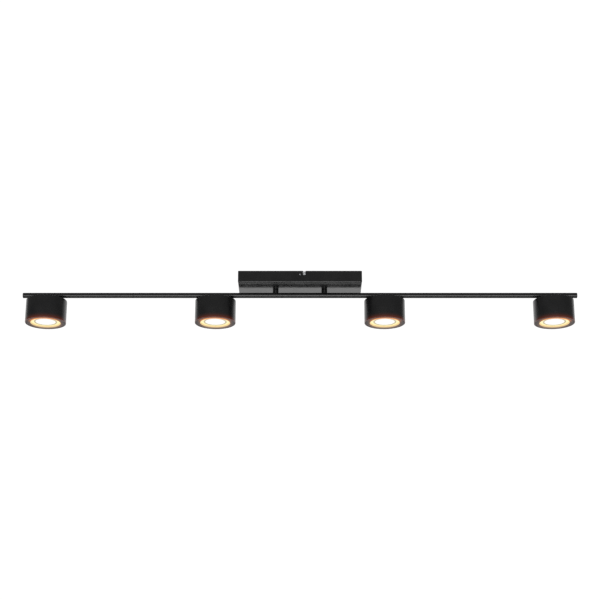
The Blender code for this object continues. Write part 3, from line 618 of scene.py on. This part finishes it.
# --- Canopy -------------------------------------------------------------------------------------
def canopy_shell(look):
    """Pressed steel tray with rounded edges, a notch in its front rim, screw and post holes."""
    low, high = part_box("canopy_cover")
    bm = block(low, high)
    bmesh.ops.delete(bm, geom=[f for f in bm.faces if f.normal.z > 0.5], context="FACES_ONLY")
    tray = new_object("scratch_tray", to_mesh("canopy_shell", bm))
    bevel = tray.modifiers.new("pressed", "BEVEL")
    bevel.width = CANOPY_EDGE
    bevel.segments = 8
    solidify = tray.modifiers.new("sheet", "SOLIDIFY")
    solidify.thickness = CANOPY_WALL
    solidify.offset = -1
    solidify.use_even_offset = True
    mesh = evaluated(tray)
    bpy.data.objects.remove(tray)
    notch_low = (NOTCH_OFFSET - NOTCH_WIDTH / 2, low.y - CANOPY_WALL, -NOTCH_HEIGHT)
    notch_high = (NOTCH_OFFSET + NOTCH_WIDTH / 2, low.y + 2 * CANOPY_WALL, CANOPY_WALL)
    cuts = [slab("notch", notch_low, notch_high, NOTCH_CORNER, only="Y")]
    for y in (low.y, high.y):
        ends = (0, y - 2 * CANOPY_WALL, -COVER_SCREW_DROP), (0, y + 2 * CANOPY_WALL, -COVER_SCREW_DROP)
        cuts.append(rod("screw_hole", COVER_SCREW_RADIUS + GAP, *ends))
    for side in ("left", "right"):
        x = centre_x(f"post_{side}")
        ends = (x, 0, low.z - CANOPY_WALL), (x, 0, low.z + 2 * CANOPY_WALL)
        cuts.append(rod("post_hole", STUD_RADIUS + GAP, *ends, sides=MEDIUM))
    mesh = polish(carve(mesh, cuts=cuts))
    fit("canopy_shell", mesh, look["black"], "root", "canopy_cover")


def bracket(look):
    """Zinc-plated cross: strap with slots and holes, arm with folded tabs."""
    low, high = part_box("ceiling_bracket")
    arm, strap = bracket_widths()
    outer_bend = BEND_RADIUS + SHEET
    fold = high.y - outer_bend
    arc = (BEND_RADIUS + SHEET / 2) * math.pi / 2
    end = fold + arc - low.z - outer_bend
    half = [(-high.x, strap, STRAP_CORNER), (-arm, strap, 0.0), (-arm, end, TAB_CORNER)]
    half += [(arm, end, TAB_CORNER), (arm, strap, 0.0), (high.x, strap, STRAP_CORNER)]
    outline = rounded(half + [(-x, -y, radius) for x, y, radius in half], closed=True, steps=6)
    bm = extrude(outline, -SHEET, 0)
    bends = 8
    for side in (-1, 1):
        for step in range(bends + 1):
            y = side * (fold + arc * step / bends)
            geom = bm.verts[:] + bm.edges[:] + bm.faces[:]
            bmesh.ops.bisect_plane(bm, geom=geom, plane_co=(0, y, 0), plane_no=(0, 1, 0), dist=1e-7)
    for vert in bm.verts:
        reach = abs(vert.co.y) - fold
        if reach <= 1e-7:
            continue
        side = math.copysign(1.0, vert.co.y)
        depth = vert.co.z + outer_bend
        angle = min(reach / arc, 1.0) * math.pi / 2
        tail = max(reach - arc, 0.0)
        vert.co.y = side * (fold + depth * math.sin(angle))
        vert.co.z = -outer_bend + depth * math.cos(angle) - tail
    mesh = to_mesh("bracket_plate", bm)
    cuts = []
    for side in (-1, 1):
        slot = stadium(SLOT_WIDTH, SLOT_LENGTH, centre=(side * SLOT_SPACING / 2, 0.0))
        cuts.append(prism("slot", slot, -2 * SHEET, SHEET))
        inside, outside = side * (high.y - 3 * SHEET), side * (high.y + SHEET)
        ends = (0, inside, -COVER_SCREW_DROP), (0, outside, -COVER_SCREW_DROP)
        cuts.append(rod("tab_hole", COVER_SCREW_RADIUS + GAP, *ends))
    earth = (centre_x("earth_screw"), EARTH_HOLE_RADIUS)
    for x, radius in ((CABLE_HOLE_OFFSET, CABLE_HOLE_RADIUS), earth):
        cuts.append(rod("hole", radius, (x, 0, -2 * SHEET), (x, 0, SHEET), MEDIUM))
    mesh = polish(carve(mesh, cuts=cuts))
    fit("bracket_plate", mesh, look["zinc"], "root", "ceiling_bracket")


def bracket_widths():
    """Half widths of the bracket's arm and strap, from the corners at their far ends."""
    corners = [vert.co for vert in frame["nodes"]["ceiling_bracket"].data.vertices]
    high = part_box("ceiling_bracket")[1]
    arm = max(corner.x for corner in corners if corner.y > high.y - SHEET)
    strap = max(corner.y for corner in corners if corner.x > high.x - SHEET)
    return arm, strap


def grub_screws(look):
    """Canopy grub screws with hexagon sockets."""
    radius = COVER_SCREW_RADIUS
    head = -0.0006
    tip = 0.0004
    for name in ("front", "back"):
        node = f"canopy_screw_{name}"
        low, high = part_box(node)
        side = -1 if name == "front" else 1
        length = high.y - low.y
        outline = rounded([(0, 0), (radius, 0, CRISP), (radius, head)])
        outline += thread(radius, head, -(length - tip))
        outline += [(radius * 0.6, -length), (0, -length)]
        key = rod("key", radius * 0.52, (0, 0, -0.0012), (0, 0, OVERRUN), 6)
        mesh = carve(lathe("grub", outline, SMALL), cuts=[key])
        mesh.transform(Matrix.Rotation(-side * math.pi / 2, 4, "X"))
        end = low.y if side < 0 else high.y
        mesh.transform(Matrix.Translation((0, end, (low.z + high.z) / 2)))
        mesh.name = f"grub_screw_{name}"
        fit(f"grub_screw_{name}", polish(mesh), look["steel"], "root", node)


def earth_screw(look):
    """Earth screw, head down, with a cross recess."""
    low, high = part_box("earth_screw")
    radius = (high.x - low.x) / 2
    under = low.z + EARTH_HEAD
    outline = [(0, high.z)] + thread(EARTH_THREAD_RADIUS, high.z, under)
    head = [(0, under), (radius, under, CRISP), (radius, low.z, 0.0009), (0, low.z)]
    outline += rounded(head)[1:]
    mesh = lathe("earth_screw_finish", outline, SMALL)
    reach = radius * 0.6
    half = 0.0004
    cross = []
    for x, y in ((1, 0), (0, 1), (-1, 0), (0, -1)):
        for along, across in ((reach, -half), (reach, half), (half, half)):
            cross.append((x * along - y * across, y * along + x * across))
    recess = prism("recess", cross, low.z - OVERRUN, low.z + 0.0010)
    mesh = polish(carve(mesh, cuts=[recess]))
    place = (centre_x("earth_screw"), 0, 0)
    fit("earth_screw_finish", mesh, look["brass"], "root", "earth_screw", place)


def driver(look):
    """Driver case: base, stepped lid with vents, three ports at each end, wells for the lid screws."""
    low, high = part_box("led_driver")
    seam = low.z + (high.z - low.z) * 0.36
    inset = 0.0006
    base = slab("base", low, (high.x, high.y, seam - GAP), 0.0012)
    lid_low = (low.x + inset, low.y + inset, seam)
    lid = slab("lid", lid_low, (high.x - inset, high.y - inset, high.z), 0.0015, 4)
    neck_low = Vector(lid_low) + Vector((inset, inset, -OVERRUN))
    neck = slab("neck", neck_low, (high.x - 2 * inset, high.y - 2 * inset, seam + OVERRUN))
    cuts = []
    vents = 9
    margin = 0.014
    half, tail, depth = 0.0010, 0.008, 0.0007
    for vent in range(vents):
        x = low.x + margin + vent * (high.x - low.x - 2 * margin) / (vents - 1)
        vent_low = (x - half, low.y + tail, high.z - depth)
        cuts.append(slab("vent", vent_low, (x + half, high.y - tail, high.z + OVERRUN)))
    middle = (low.z + high.z) / 2
    spacing, depth, half = 0.0055, 0.004, 0.0018
    for end in (low.x, high.x):
        for way in (-1, 0, 1):
            y = way * spacing
            port_low = (end - depth, y - half, middle - 0.0022)
            cuts.append(slab("port", port_low, (end + depth, y + half, middle + 0.0026), EASED))
    for x in (low.x + 0.0065, high.x - 0.0065):
        for y in (low.y + 0.005, high.y - 0.005):
            cuts.append(rod("screw_well", 0.0019, (x, y, high.z - 0.0016), (x, y, high.z + OVERRUN)))
    body = carve(carve(base, adds=[neck, lid]), cuts=cuts)
    fit("driver_case", polish(body), look["white"], "root", "led_driver")


def terminal(look):
    """Three-way terminal block with raised barrels, wire bores and screw wells."""
    low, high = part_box("terminal_block")
    width = (high.x - low.x) / 3
    shoulder = low.z + (high.z - low.z) * 0.62
    body = slab("body", (low.x, low.y, low.z), (high.x, high.y, shoulder), 0.0005)
    adds = []
    cuts = []
    middle = (low.z + high.z) / 2
    half, inset = width * 0.40, 0.0008
    for way in range(3):
        x = low.x + width * (way + 0.5)
        barrel_low = (x - half, low.y + inset, low.z + 0.002)
        adds.append(slab("barrel", barrel_low, (x + half, high.y - inset, high.z), inset))
        ends = (x, low.y - 2 * OVERRUN, middle), (x, high.y + 2 * OVERRUN, middle)
        cuts.append(rod("bore", 0.0016, *ends))
        for y in (low.y + 0.0055, high.y - 0.0055):
            cuts.append(rod("well", 0.0017, (x, y, middle + 0.0022), (x, y, high.z + OVERRUN)))
    mesh = polish(carve(carve(body, adds=adds), cuts=cuts))
    fit("terminal_strip", mesh, look["white"], "root", "terminal_block")


# --- Posts and bar ------------------------------------------------------------------------------
def posts(look):
    """Posts with a saddle on the bar, a collar and a threaded stud, and their nuts."""
    axis, radius = bar_sizes()
    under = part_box("canopy_cover")[0].z
    for side in ("left", "right"):
        low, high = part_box(f"post_{side}")
        x = centre_x(f"post_{side}")
        outer = (high.x - low.x) / 2
        rim, foot = under - GAP, axis + radius - SADDLE_DEPTH
        collar = rounded([(0, rim), (outer, rim, EDGE), (outer, foot, EDGE), (0, foot)])
        collar = carve(lathe("collar", collar, MEDIUM), cuts=[saddle()])
        stud = [(0, high.z), (STUD_RADIUS - 2 * THREAD_DEPTH, high.z)]
        stud += thread(STUD_RADIUS, high.z - THREAD_DEPTH, rim + 0.0004)
        stud += [(STUD_RADIUS, rim + CRISP), (STUD_RADIUS, low.z), (0, low.z)]
        bore = rod("bore", LEAD_BORE, (0, 0, low.z - OVERRUN), (0, 0, high.z + OVERRUN))
        mesh = polish(carve(collar, adds=[lathe("stud", stud, MEDIUM)], cuts=[bore]))
        mesh.name = f"post_{side}_finish"
        fit(mesh.name, mesh, look["black"], "root", f"post_{side}", (x, 0, 0))
        nut(look, side, x)


def nut(look, side, x):
    """Hexagon nut with chamfered corners."""
    low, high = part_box(f"post_nut_{side}")
    corner = (high.x - low.x) / 2
    flats = corner * math.cos(math.pi / 6)
    hexagon = rod("hexagon", corner, (0, 0, low.z), (0, 0, high.z), 6)
    face = flats * 0.97
    past = corner * 1.001
    chamfer = (corner - flats) * 0.55
    crown = [(0, high.z), (face, high.z), (past, high.z - chamfer)]
    crown += [(past, low.z + chamfer), (face, low.z), (0, low.z)]
    bore = rod("bore", STUD_RADIUS + GAP, (0, 0, low.z - OVERRUN), (0, 0, high.z + OVERRUN), MEDIUM)
    mesh = polish(carve(hexagon, cuts=[bore], keeps=[lathe("crown", crown, MEDIUM)]))
    mesh.name = f"post_nut_{side}_finish"
    fit(mesh.name, mesh, look["zinc"], "root", f"post_nut_{side}", (x, 0, 0))


def bar(look):
    """Round tube, drilled for the posts and sockets, with plugs in its ends."""
    axis, radius = bar_sizes()
    bore = radius - BAR_WALL
    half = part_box("bar_tube")[1].x
    outline = [(radius, half, EASED), (radius, -half, EASED), (bore, -half, CRISP), (bore, half, CRISP)]
    mesh = lathe("bar_finish", rounded(outline, closed=True, steps=3), MEDIUM, closed=True)
    mesh = turned_to_x(mesh, axis)
    cuts = []
    for side in ("left", "right"):
        x = centre_x(f"post_{side}")
        cuts.append(rod("hole", STUD_RADIUS + GAP, (x, 0, axis), (x, 0, axis + 2 * radius), MEDIUM))
    for number in HEADS:
        x = centre_x(f"head_{number}_housing")
        cuts.append(rod("hole", SPIGOT_RADIUS + GAP, (x, 0, axis - 2 * radius), (x, 0, axis), MEDIUM))
    fit("bar_finish", polish(carve(mesh, cuts=cuts)), look["black_bar"], "root", "bar_tube")
    for side, sign in (("left", -1), ("right", 1)):
        low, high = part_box(f"bar_end_cap_{side}")
        tip = max(abs(low.x), abs(high.x))
        tail = min(abs(low.x), abs(high.x))
        shoulder = tip - 0.0014
        plug = bore - GAP
        outline = [(0, tip), (radius, tip, 0.0011), (radius, shoulder, 0.00015)]
        outline += [(plug, shoulder), (plug, tail, 0.0005), (0, tail)]
        cap = lathe(f"bar_cap_{side}", rounded(outline, steps=7), MEDIUM)
        cap = turned_to_x(cap, axis, sign)
        fit(f"bar_cap_{side}", polish(cap), look["black_bar"], "root", f"bar_end_cap_{side}")


def lead(look):
    """The sleeved lead stays as the CAD has it, inside the bar and the post."""
    node = frame["nodes"]["supply_lead"]
    node.data.materials.clear()
    node.data.materials.append(look["lead"])


# --- Heads --------------------------------------------------------------------------------------
def housing_mesh():
    """Spun can: crisp rounded rims, and the slot and the rivet holes in its top."""
    low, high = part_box("head_1_housing")
    radius = half_width("head_1_housing")
    bore = radius - CAN_WALL
    ceiling = high.z - CAN_WALL
    outline = [(0, high.z), (radius, high.z, 0.0009), (radius, low.z, 0.00045)]
    outline += [(bore, low.z, 0.00025), (bore, ceiling, 0.0006), (0, ceiling)]
    mesh = lathe("can", rounded(outline), FINE)
    cuts = [head_slot(high.z - 2 * CAN_WALL, high.z + CAN_WALL)]
    for x in (-RIVET_REACH, RIVET_REACH):
        ends = (x, 0, high.z - 2 * CAN_WALL), (x, 0, high.z + CAN_WALL)
        cuts.append(rod("hole", RIVET_RADIUS + GAP, *ends))
    return polish(carve(mesh, cuts=cuts))


def trim_mesh():
    """Front ring: flat face, rounded lip at the aperture, stepped ledge behind it."""
    low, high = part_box("head_1_trim_ring")
    outer = half_width("head_1_trim_ring")
    ledge = half_width("head_1_diffuser_ring") + GAP
    aperture = ledge - TRIM_LEDGE
    back = low.z + TRIM_LIP
    outline = [(outer, high.z, CRISP), (outer, low.z, EASED), (aperture, low.z, 0.0005)]
    outline += [(aperture, back, CRISP), (ledge, back), (ledge, high.z, CRISP)]
    return polish(lathe("trim", rounded(outline, closed=True), FINE, closed=True))


def lens_mesh():
    """Shallow dome with a stepped rim and faint moulded rings."""
    low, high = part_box("head_1_lens")
    radius = half_width("head_1_lens")
    rim = radius * 0.955
    sag = 0.0003
    foot = low.z + sag
    outline = [(0, high.z), (radius, high.z), (radius, foot + 0.0005), (radius * 0.985, foot + 0.00035)]
    rings = 7
    groove = 0.00002
    for step in range(rings):
        share = 1 - step / rings
        drop = sag * (1 - share ** 2)
        outline.append((rim * share, foot - drop))
        outline.append((rim * (share - 0.5 / rings), foot - drop - groove))
    outline.append((0, low.z))
    return polish(lathe("lens_finish", outline, FINE))


def diffuser_mesh():
    """Ring round the lens, dished slightly, with a raised inner bead."""
    low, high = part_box("head_1_diffuser_ring")
    outer = half_width("head_1_diffuser_ring")
    inner = half_width("head_1_lens") + GAP
    dish = low.z + 0.00045
    bead = low.z + 0.0001
    outline = [(outer, high.z), (outer, low.z), (outer - 0.0018, low.z, 0.0006)]
    outline += [(inner + 0.0016, dish, 0.0005), (inner + 0.0008, bead, 0.0003)]
    outline += [(inner, low.z + 0.0002, 0.0001), (inner, high.z)]
    return polish(lathe("diffuser_finish", rounded(outline, closed=True, steps=3), FINE, closed=True))


def knuckle_mesh():
    """Swivel: peened spigot, flange, and a round-ended tongue with rounded edges."""
    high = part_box("head_1_knuckle")[1]
    pivot = joint_height("head_1_tilt")
    flange_top = joint_height("head_1_pan")
    flange_low = flange_top - FLANGE_HEIGHT
    peen = high.z - 0.0008
    peen_radius = SWIVEL_RADIUS + 0.0006
    outline = [(0, high.z), (peen_radius, high.z, 0.0004), (peen_radius, peen, 0.0001)]
    outline += [(SWIVEL_RADIUS, peen), (SWIVEL_RADIUS, flange_top), (KNUCKLE_RADIUS, flange_top, EASED)]
    outline += [(KNUCKLE_RADIUS, flange_low, EASED), (0, flange_low)]
    half = TONGUE_DEPTH / 2
    root = flange_top - FLANGE_HEIGHT / 2
    side = [(half, root)]
    for step in range(SMALL + 1):
        angle = -math.pi * step / SMALL
        side.append((half * math.cos(angle), pivot + half * math.sin(angle)))
    side.append((-half, root))
    tongue = across_x("tongue", side, -TONGUE_WIDTH / 2, TONGUE_WIDTH / 2, EASED)
    way_radius = 0.0011
    leave = (pivot + flange_top - 0.0015) / 2 + way_radius
    past = 0.01
    cuts = [
        rod("pin_hole", PIN_RADIUS + GAP, (-past, 0, pivot), (past, 0, pivot)),
        rod("wire_exit", LEAD_BORE, (0, -past, leave), (0, past, leave)),
        rod("wire_way", way_radius, (0, 0, leave), (0, 0, high.z + OVERRUN)),
    ]
    return polish(carve(lathe("knuckle_finish", rounded(outline), MEDIUM), adds=[tongue], cuts=cuts))


def socket_mesh():
    """Socket under the bar: saddle, short boss with a rounded mouth, spigot and bore."""
    axis, radius = bar_sizes()
    low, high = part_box("head_1_socket")
    inside = axis - radius / 2
    boss = rounded([(0, inside), (KNUCKLE_RADIUS, inside), (KNUCKLE_RADIUS, low.z, EDGE), (0, low.z)])
    mesh = carve(lathe("socket_finish", boss, MEDIUM), cuts=[saddle()])
    spigot = rod("spigot", SPIGOT_RADIUS, (0, 0, low.z + GAP), (0, 0, high.z), MEDIUM)
    bore = rod("bore", SWIVEL_RADIUS + GAP, (0, 0, low.z - OVERRUN), (0, 0, high.z + OVERRUN), MEDIUM)
    return polish(carve(mesh, adds=[spigot], cuts=[bore]))


def tilt_bracket_mesh():
    """Plate under the can's top with folded lugs and domed rivet heads."""
    low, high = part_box("head_1_tilt_bracket")
    can_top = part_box("head_1_housing")[1].z
    top = can_top - CAN_WALL - GAP
    bottom = top - PLATE_HEIGHT
    pivot = joint_height("head_1_tilt")
    reach = high.x - centre_x("head_1_housing")
    corner = 0.003
    ends = ((reach, high.y), (-reach, high.y), (-reach, low.y), (reach, low.y))
    corners = [(x, y, corner) for x, y in ends]
    plate = prism("plate", rounded(corners, closed=True, steps=6), bottom, top, CRISP)
    plate = carve(plate, cuts=[head_slot(bottom - OVERRUN, top + OVERRUN)])
    adds = []
    steps = 8
    centre_y, centre_z = LUG_HALF - LUG_CORNER, pivot - 0.0004
    for side in (-1, 1):
        faces = sorted((side * (LUG_INNER + GAP / 3), side * (LUG_INNER + SHEET)))
        lug = [(LUG_HALF, top - GAP)]
        for step in range(steps + 1):
            angle = -math.pi / 2 * step / steps
            lug.append((centre_y + LUG_CORNER * math.cos(angle), centre_z + LUG_CORNER * math.sin(angle)))
        lug += [(-y, z) for y, z in reversed(lug)]
        adds.append(across_x("lug", lug, faces[0], faces[1], CRISP))
        adds += rivet(side * RIVET_REACH, top - GAP, can_top + GAP)
    pin_hole = rod("pin_hole", PIN_RADIUS + GAP, (-reach, 0, pivot), (reach, 0, pivot))
    return polish(carve(plate, adds=adds, cuts=[pin_hole]))


def rivet(x, low, under):
    """Stem and domed head of a rivet. The head starts at under."""
    stem = [(0, low), (RIVET_RADIUS, low), (RIVET_RADIUS, under + GAP), (0, under + GAP)]
    dome = [(0, under), (RIVET_HEAD_RADIUS, under)]
    steps = 6
    for step in range(1, steps + 1):
        angle = math.pi / 2 * step / steps
        dome.append((RIVET_HEAD_RADIUS * math.cos(angle), under + RIVET_HEAD_HEIGHT * math.sin(angle)))
    return [lathe("rivet", outline, SMALL, centre=(x, 0.0)) for outline in (stem, dome)]


def tilt_pin_mesh():
    """Pin with domed, formed heads."""
    far = half_width("head_1_tilt_pin")
    near = far - PIN_HEAD_HEIGHT
    dome = 0.0009
    outline = [(0, far), (PIN_HEAD_RADIUS, far, dome), (PIN_HEAD_RADIUS, near, CRISP), (PIN_RADIUS, near)]
    outline += [(PIN_RADIUS, -near), (PIN_HEAD_RADIUS, -near, CRISP), (PIN_HEAD_RADIUS, -far, dome)]
    outline += [(0, -far)]
    mesh = lathe("tilt_pin_finish", rounded(outline), SMALL)
    return polish(turned_to_x(mesh, joint_height("head_1_tilt")))


def inner_meshes():
    """Reflector, LED board and heat sink behind the lens."""
    low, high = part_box("head_1_reflector")
    rim = half_width("head_1_reflector")
    flange = low.z + 0.001
    mouth = 0.0095
    cone = [(mouth + 0.001, high.z, CRISP), (rim - 0.001, flange, 0.0004), (rim, flange, CRISP)]
    cone += [(rim, low.z, CRISP), (rim - 0.002, low.z, 0.0005), (mouth, high.z, CRISP)]
    cone = rounded(cone, closed=True, steps=3)
    reflector = polish(lathe("reflector_finish", cone, FINE, closed=True))
    low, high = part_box("head_1_led_board")
    outer = 0.025
    chip = 0.0070
    face = low.z + 0.001
    board = [(0, high.z), (outer, high.z, CRISP), (outer, face, CRISP)]
    board += [(chip + 0.0005, face), (chip, low.z, EASED), (0, low.z)]
    led_board = polish(lathe("led_board_finish", rounded(board), FINE))
    low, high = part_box("head_1_heat_sink")
    outer = half_width("head_1_heat_sink")
    inner = outer - 0.0022
    base = low.z + 0.0035
    sink = [(0, base), (inner, base, 0.0008), (inner, high.z, EASED)]
    sink += [(outer, high.z, EASED), (outer, low.z, EASED), (0, low.z)]
    heat_sink = polish(lathe("heat_sink_finish", rounded(sink), FINE))
    return {"reflector": reflector, "led_board": led_board, "heat_sink": heat_sink}


def heads(look):
    """Four heads that share their meshes. Each piece rides on the head's own bodies."""
    lens_radius = half_width("head_1_lens")
    ring_outer = half_width("head_1_diffuser_ring") - 0.0017
    glow = lit_lens("lens_glow", lens_radius)
    ring_glow = lit_ring("ring_glow", lens_radius, ring_outer)
    inner = inner_meshes()
    pieces = [
        ("socket", socket_mesh(), look["black"], "", "black_paint"),
        ("knuckle", knuckle_mesh(), look["black"], "_swivel", "black_paint"),
        ("housing", housing_mesh(), look["black_can"], "_head", "black_paint"),
        ("trim_ring", trim_mesh(), look["black_trim"], "_head", "black_paint"),
        ("lens", lens_mesh(), glow, "_head", "lens_plastic"),
        ("diffuser_ring", diffuser_mesh(), ring_glow, "_head", "diffuser_plastic"),
        ("tilt_bracket", tilt_bracket_mesh(), look["zinc"], "_head", "zinc_plate"),
        ("tilt_pin", tilt_pin_mesh(), look["steel"], "_head", "bright_steel"),
        ("reflector", inner["reflector"], look["bright"], "_head", "reflector_plastic"),
        ("led_board", inner["led_board"], look["board"], "_head", "board_mask"),
        ("heat_sink", inner["heat_sink"], look["aluminium"], "_head", "aluminium"),
    ]
    bodies = {"": "root", "_swivel": "head_{}_swivel", "_head": "head_{}"}
    for number in HEADS:
        place = centre_x(f"head_{number}_housing")
        for kind, mesh, material, where, slot in pieces:
            node = f"head_{number}_{kind}"
            body = bodies[where].format(number)
            fit(f"{node}_finish", mesh, material, body, node, (place, 0.0, 0.0))


# --- Stage --------------------------------------------------------------------------------------
BACK_LIGHT = 1.06
FRONT_LIGHT = 0.30
SIDE_LIGHT = 0.18
OVERHEAD_SHARE = 0.05                 # of the back light, from steeply above
SOFTBOX_LIGHT = 4.5
SOFTBOX_FALL = math.radians(30)       # the softbox stands this far below level
SOFTBOX_SPREAD = math.radians(24)
SOFTBOX_CORE = 0.995                  # cosine inside which it is at full strength
TOP_LIGHT_WATTS = 7.0
TOP_LIGHT_HEIGHT = 0.9
TOP_LIGHT_SIZE = (1.4, 0.5)
FLOOR_DROP = 3.0
FLOOR_RADIUS = 3.2
CAMERA_LENS = 90.8
CAMERA_DISTANCE = 2.8
CAMERA_RISE = math.radians(18.9)      # the view goes up by this much from level
CAMERA_AIM = math.radians(0.17)       # the camera points this much below the bar


def floor():
    """Round pale floor, a room's height below the ceiling."""
    bm = bmesh.new()
    bmesh.ops.create_circle(bm, cap_ends=True, segments=MEDIUM, radius=FLOOR_RADIUS)
    plane = new_object("floor", to_mesh("floor", bm), (0, 0, -FLOOR_DROP))
    n = Nodes("pale_floor")
    n.set(Base_Color=n.ramp(n.noise(1.2), [(0.3, (0.80, 0.80, 0.79)), (0.7, (0.86, 0.86, 0.85))]))
    n.set(Roughness=0.8)
    plane.data.materials.append(n.material)


def studio():
    """Soft studio: white behind the fitting, dim at the front and overhead, one softbox low in front."""
    world = bpy.data.worlds.new("studio")
    bpy.context.scene.world = world
    world.use_nodes = True
    n = Tree(world.node_tree)
    direction = n.add("ShaderNodeTexCoord").outputs["Generated"]
    parts = n.add("ShaderNodeSeparateXYZ", {"Vector": direction}).outputs
    smooth = "SMOOTHSTEP"
    sides = n.span(parts["Y"], -0.9, -0.1, FRONT_LIGHT, SIDE_LIGHT, smooth)
    behind = n.span(parts["Y"], 0.30, 0.82, 0.0, BACK_LIGHT, smooth)
    overhead = n.span(parts["Z"], 0.52, 0.75, 1.0, OVERHEAD_SHARE, smooth)
    base = n.math("MAXIMUM", sides, n.math("MULTIPLY", behind, overhead))
    aim = n.dot(direction, (0.0, -math.cos(SOFTBOX_FALL), -math.sin(SOFTBOX_FALL)))
    softbox = n.span(aim, math.cos(SOFTBOX_SPREAD), SOFTBOX_CORE, 0.0, SOFTBOX_LIGHT, smooth)
    background = n.tree.nodes["Background"].inputs
    n.feed(background["Color"], (1.0, 1.0, 1.0))
    n.feed(background["Strength"], n.math("ADD", base, softbox))


def top_light():
    """Soft light over the fitting, so that the parts inside the canopy are lit from above."""
    data = bpy.data.lights.new("top_light", "AREA")
    data.shape = "RECTANGLE"
    data.size, data.size_y = TOP_LIGHT_SIZE
    data.energy = TOP_LIGHT_WATTS
    light = bpy.data.objects.new("top_light", data)
    light.location = (0, 0, TOP_LIGHT_HEIGHT)
    light.visible_glossy = False
    bpy.context.scene.collection.objects.link(light)


def camera():
    """Camera in front of the bar and below it, looking up."""
    axis = bar_sizes()[0]
    data = bpy.data.cameras.new("camera")
    data.lens = CAMERA_LENS
    data.sensor_width = 36.0
    data.clip_start = 0.05
    data.clip_end = 50.0
    cam = bpy.data.objects.new("camera", data)
    bpy.context.scene.collection.objects.link(cam)
    back = Vector((0, -math.cos(CAMERA_RISE), -math.sin(CAMERA_RISE)))
    cam.location = Vector((0, 0, axis)) + back * CAMERA_DISTANCE
    cam.rotation_euler = (math.pi / 2 + CAMERA_RISE - CAMERA_AIM, 0, 0)
    bpy.context.scene.camera = cam


def main():
    bpy.context.scene.view_settings.view_transform = "Standard"
    look = build_materials()
    camera()
    canopy_shell(look)
    bracket(look)
    grub_screws(look)
    earth_screw(look)
    driver(look)
    terminal(look)
    posts(look)
    bar(look)
    lead(look)
    heads(look)
    floor()
    studio()
    top_light()


main()
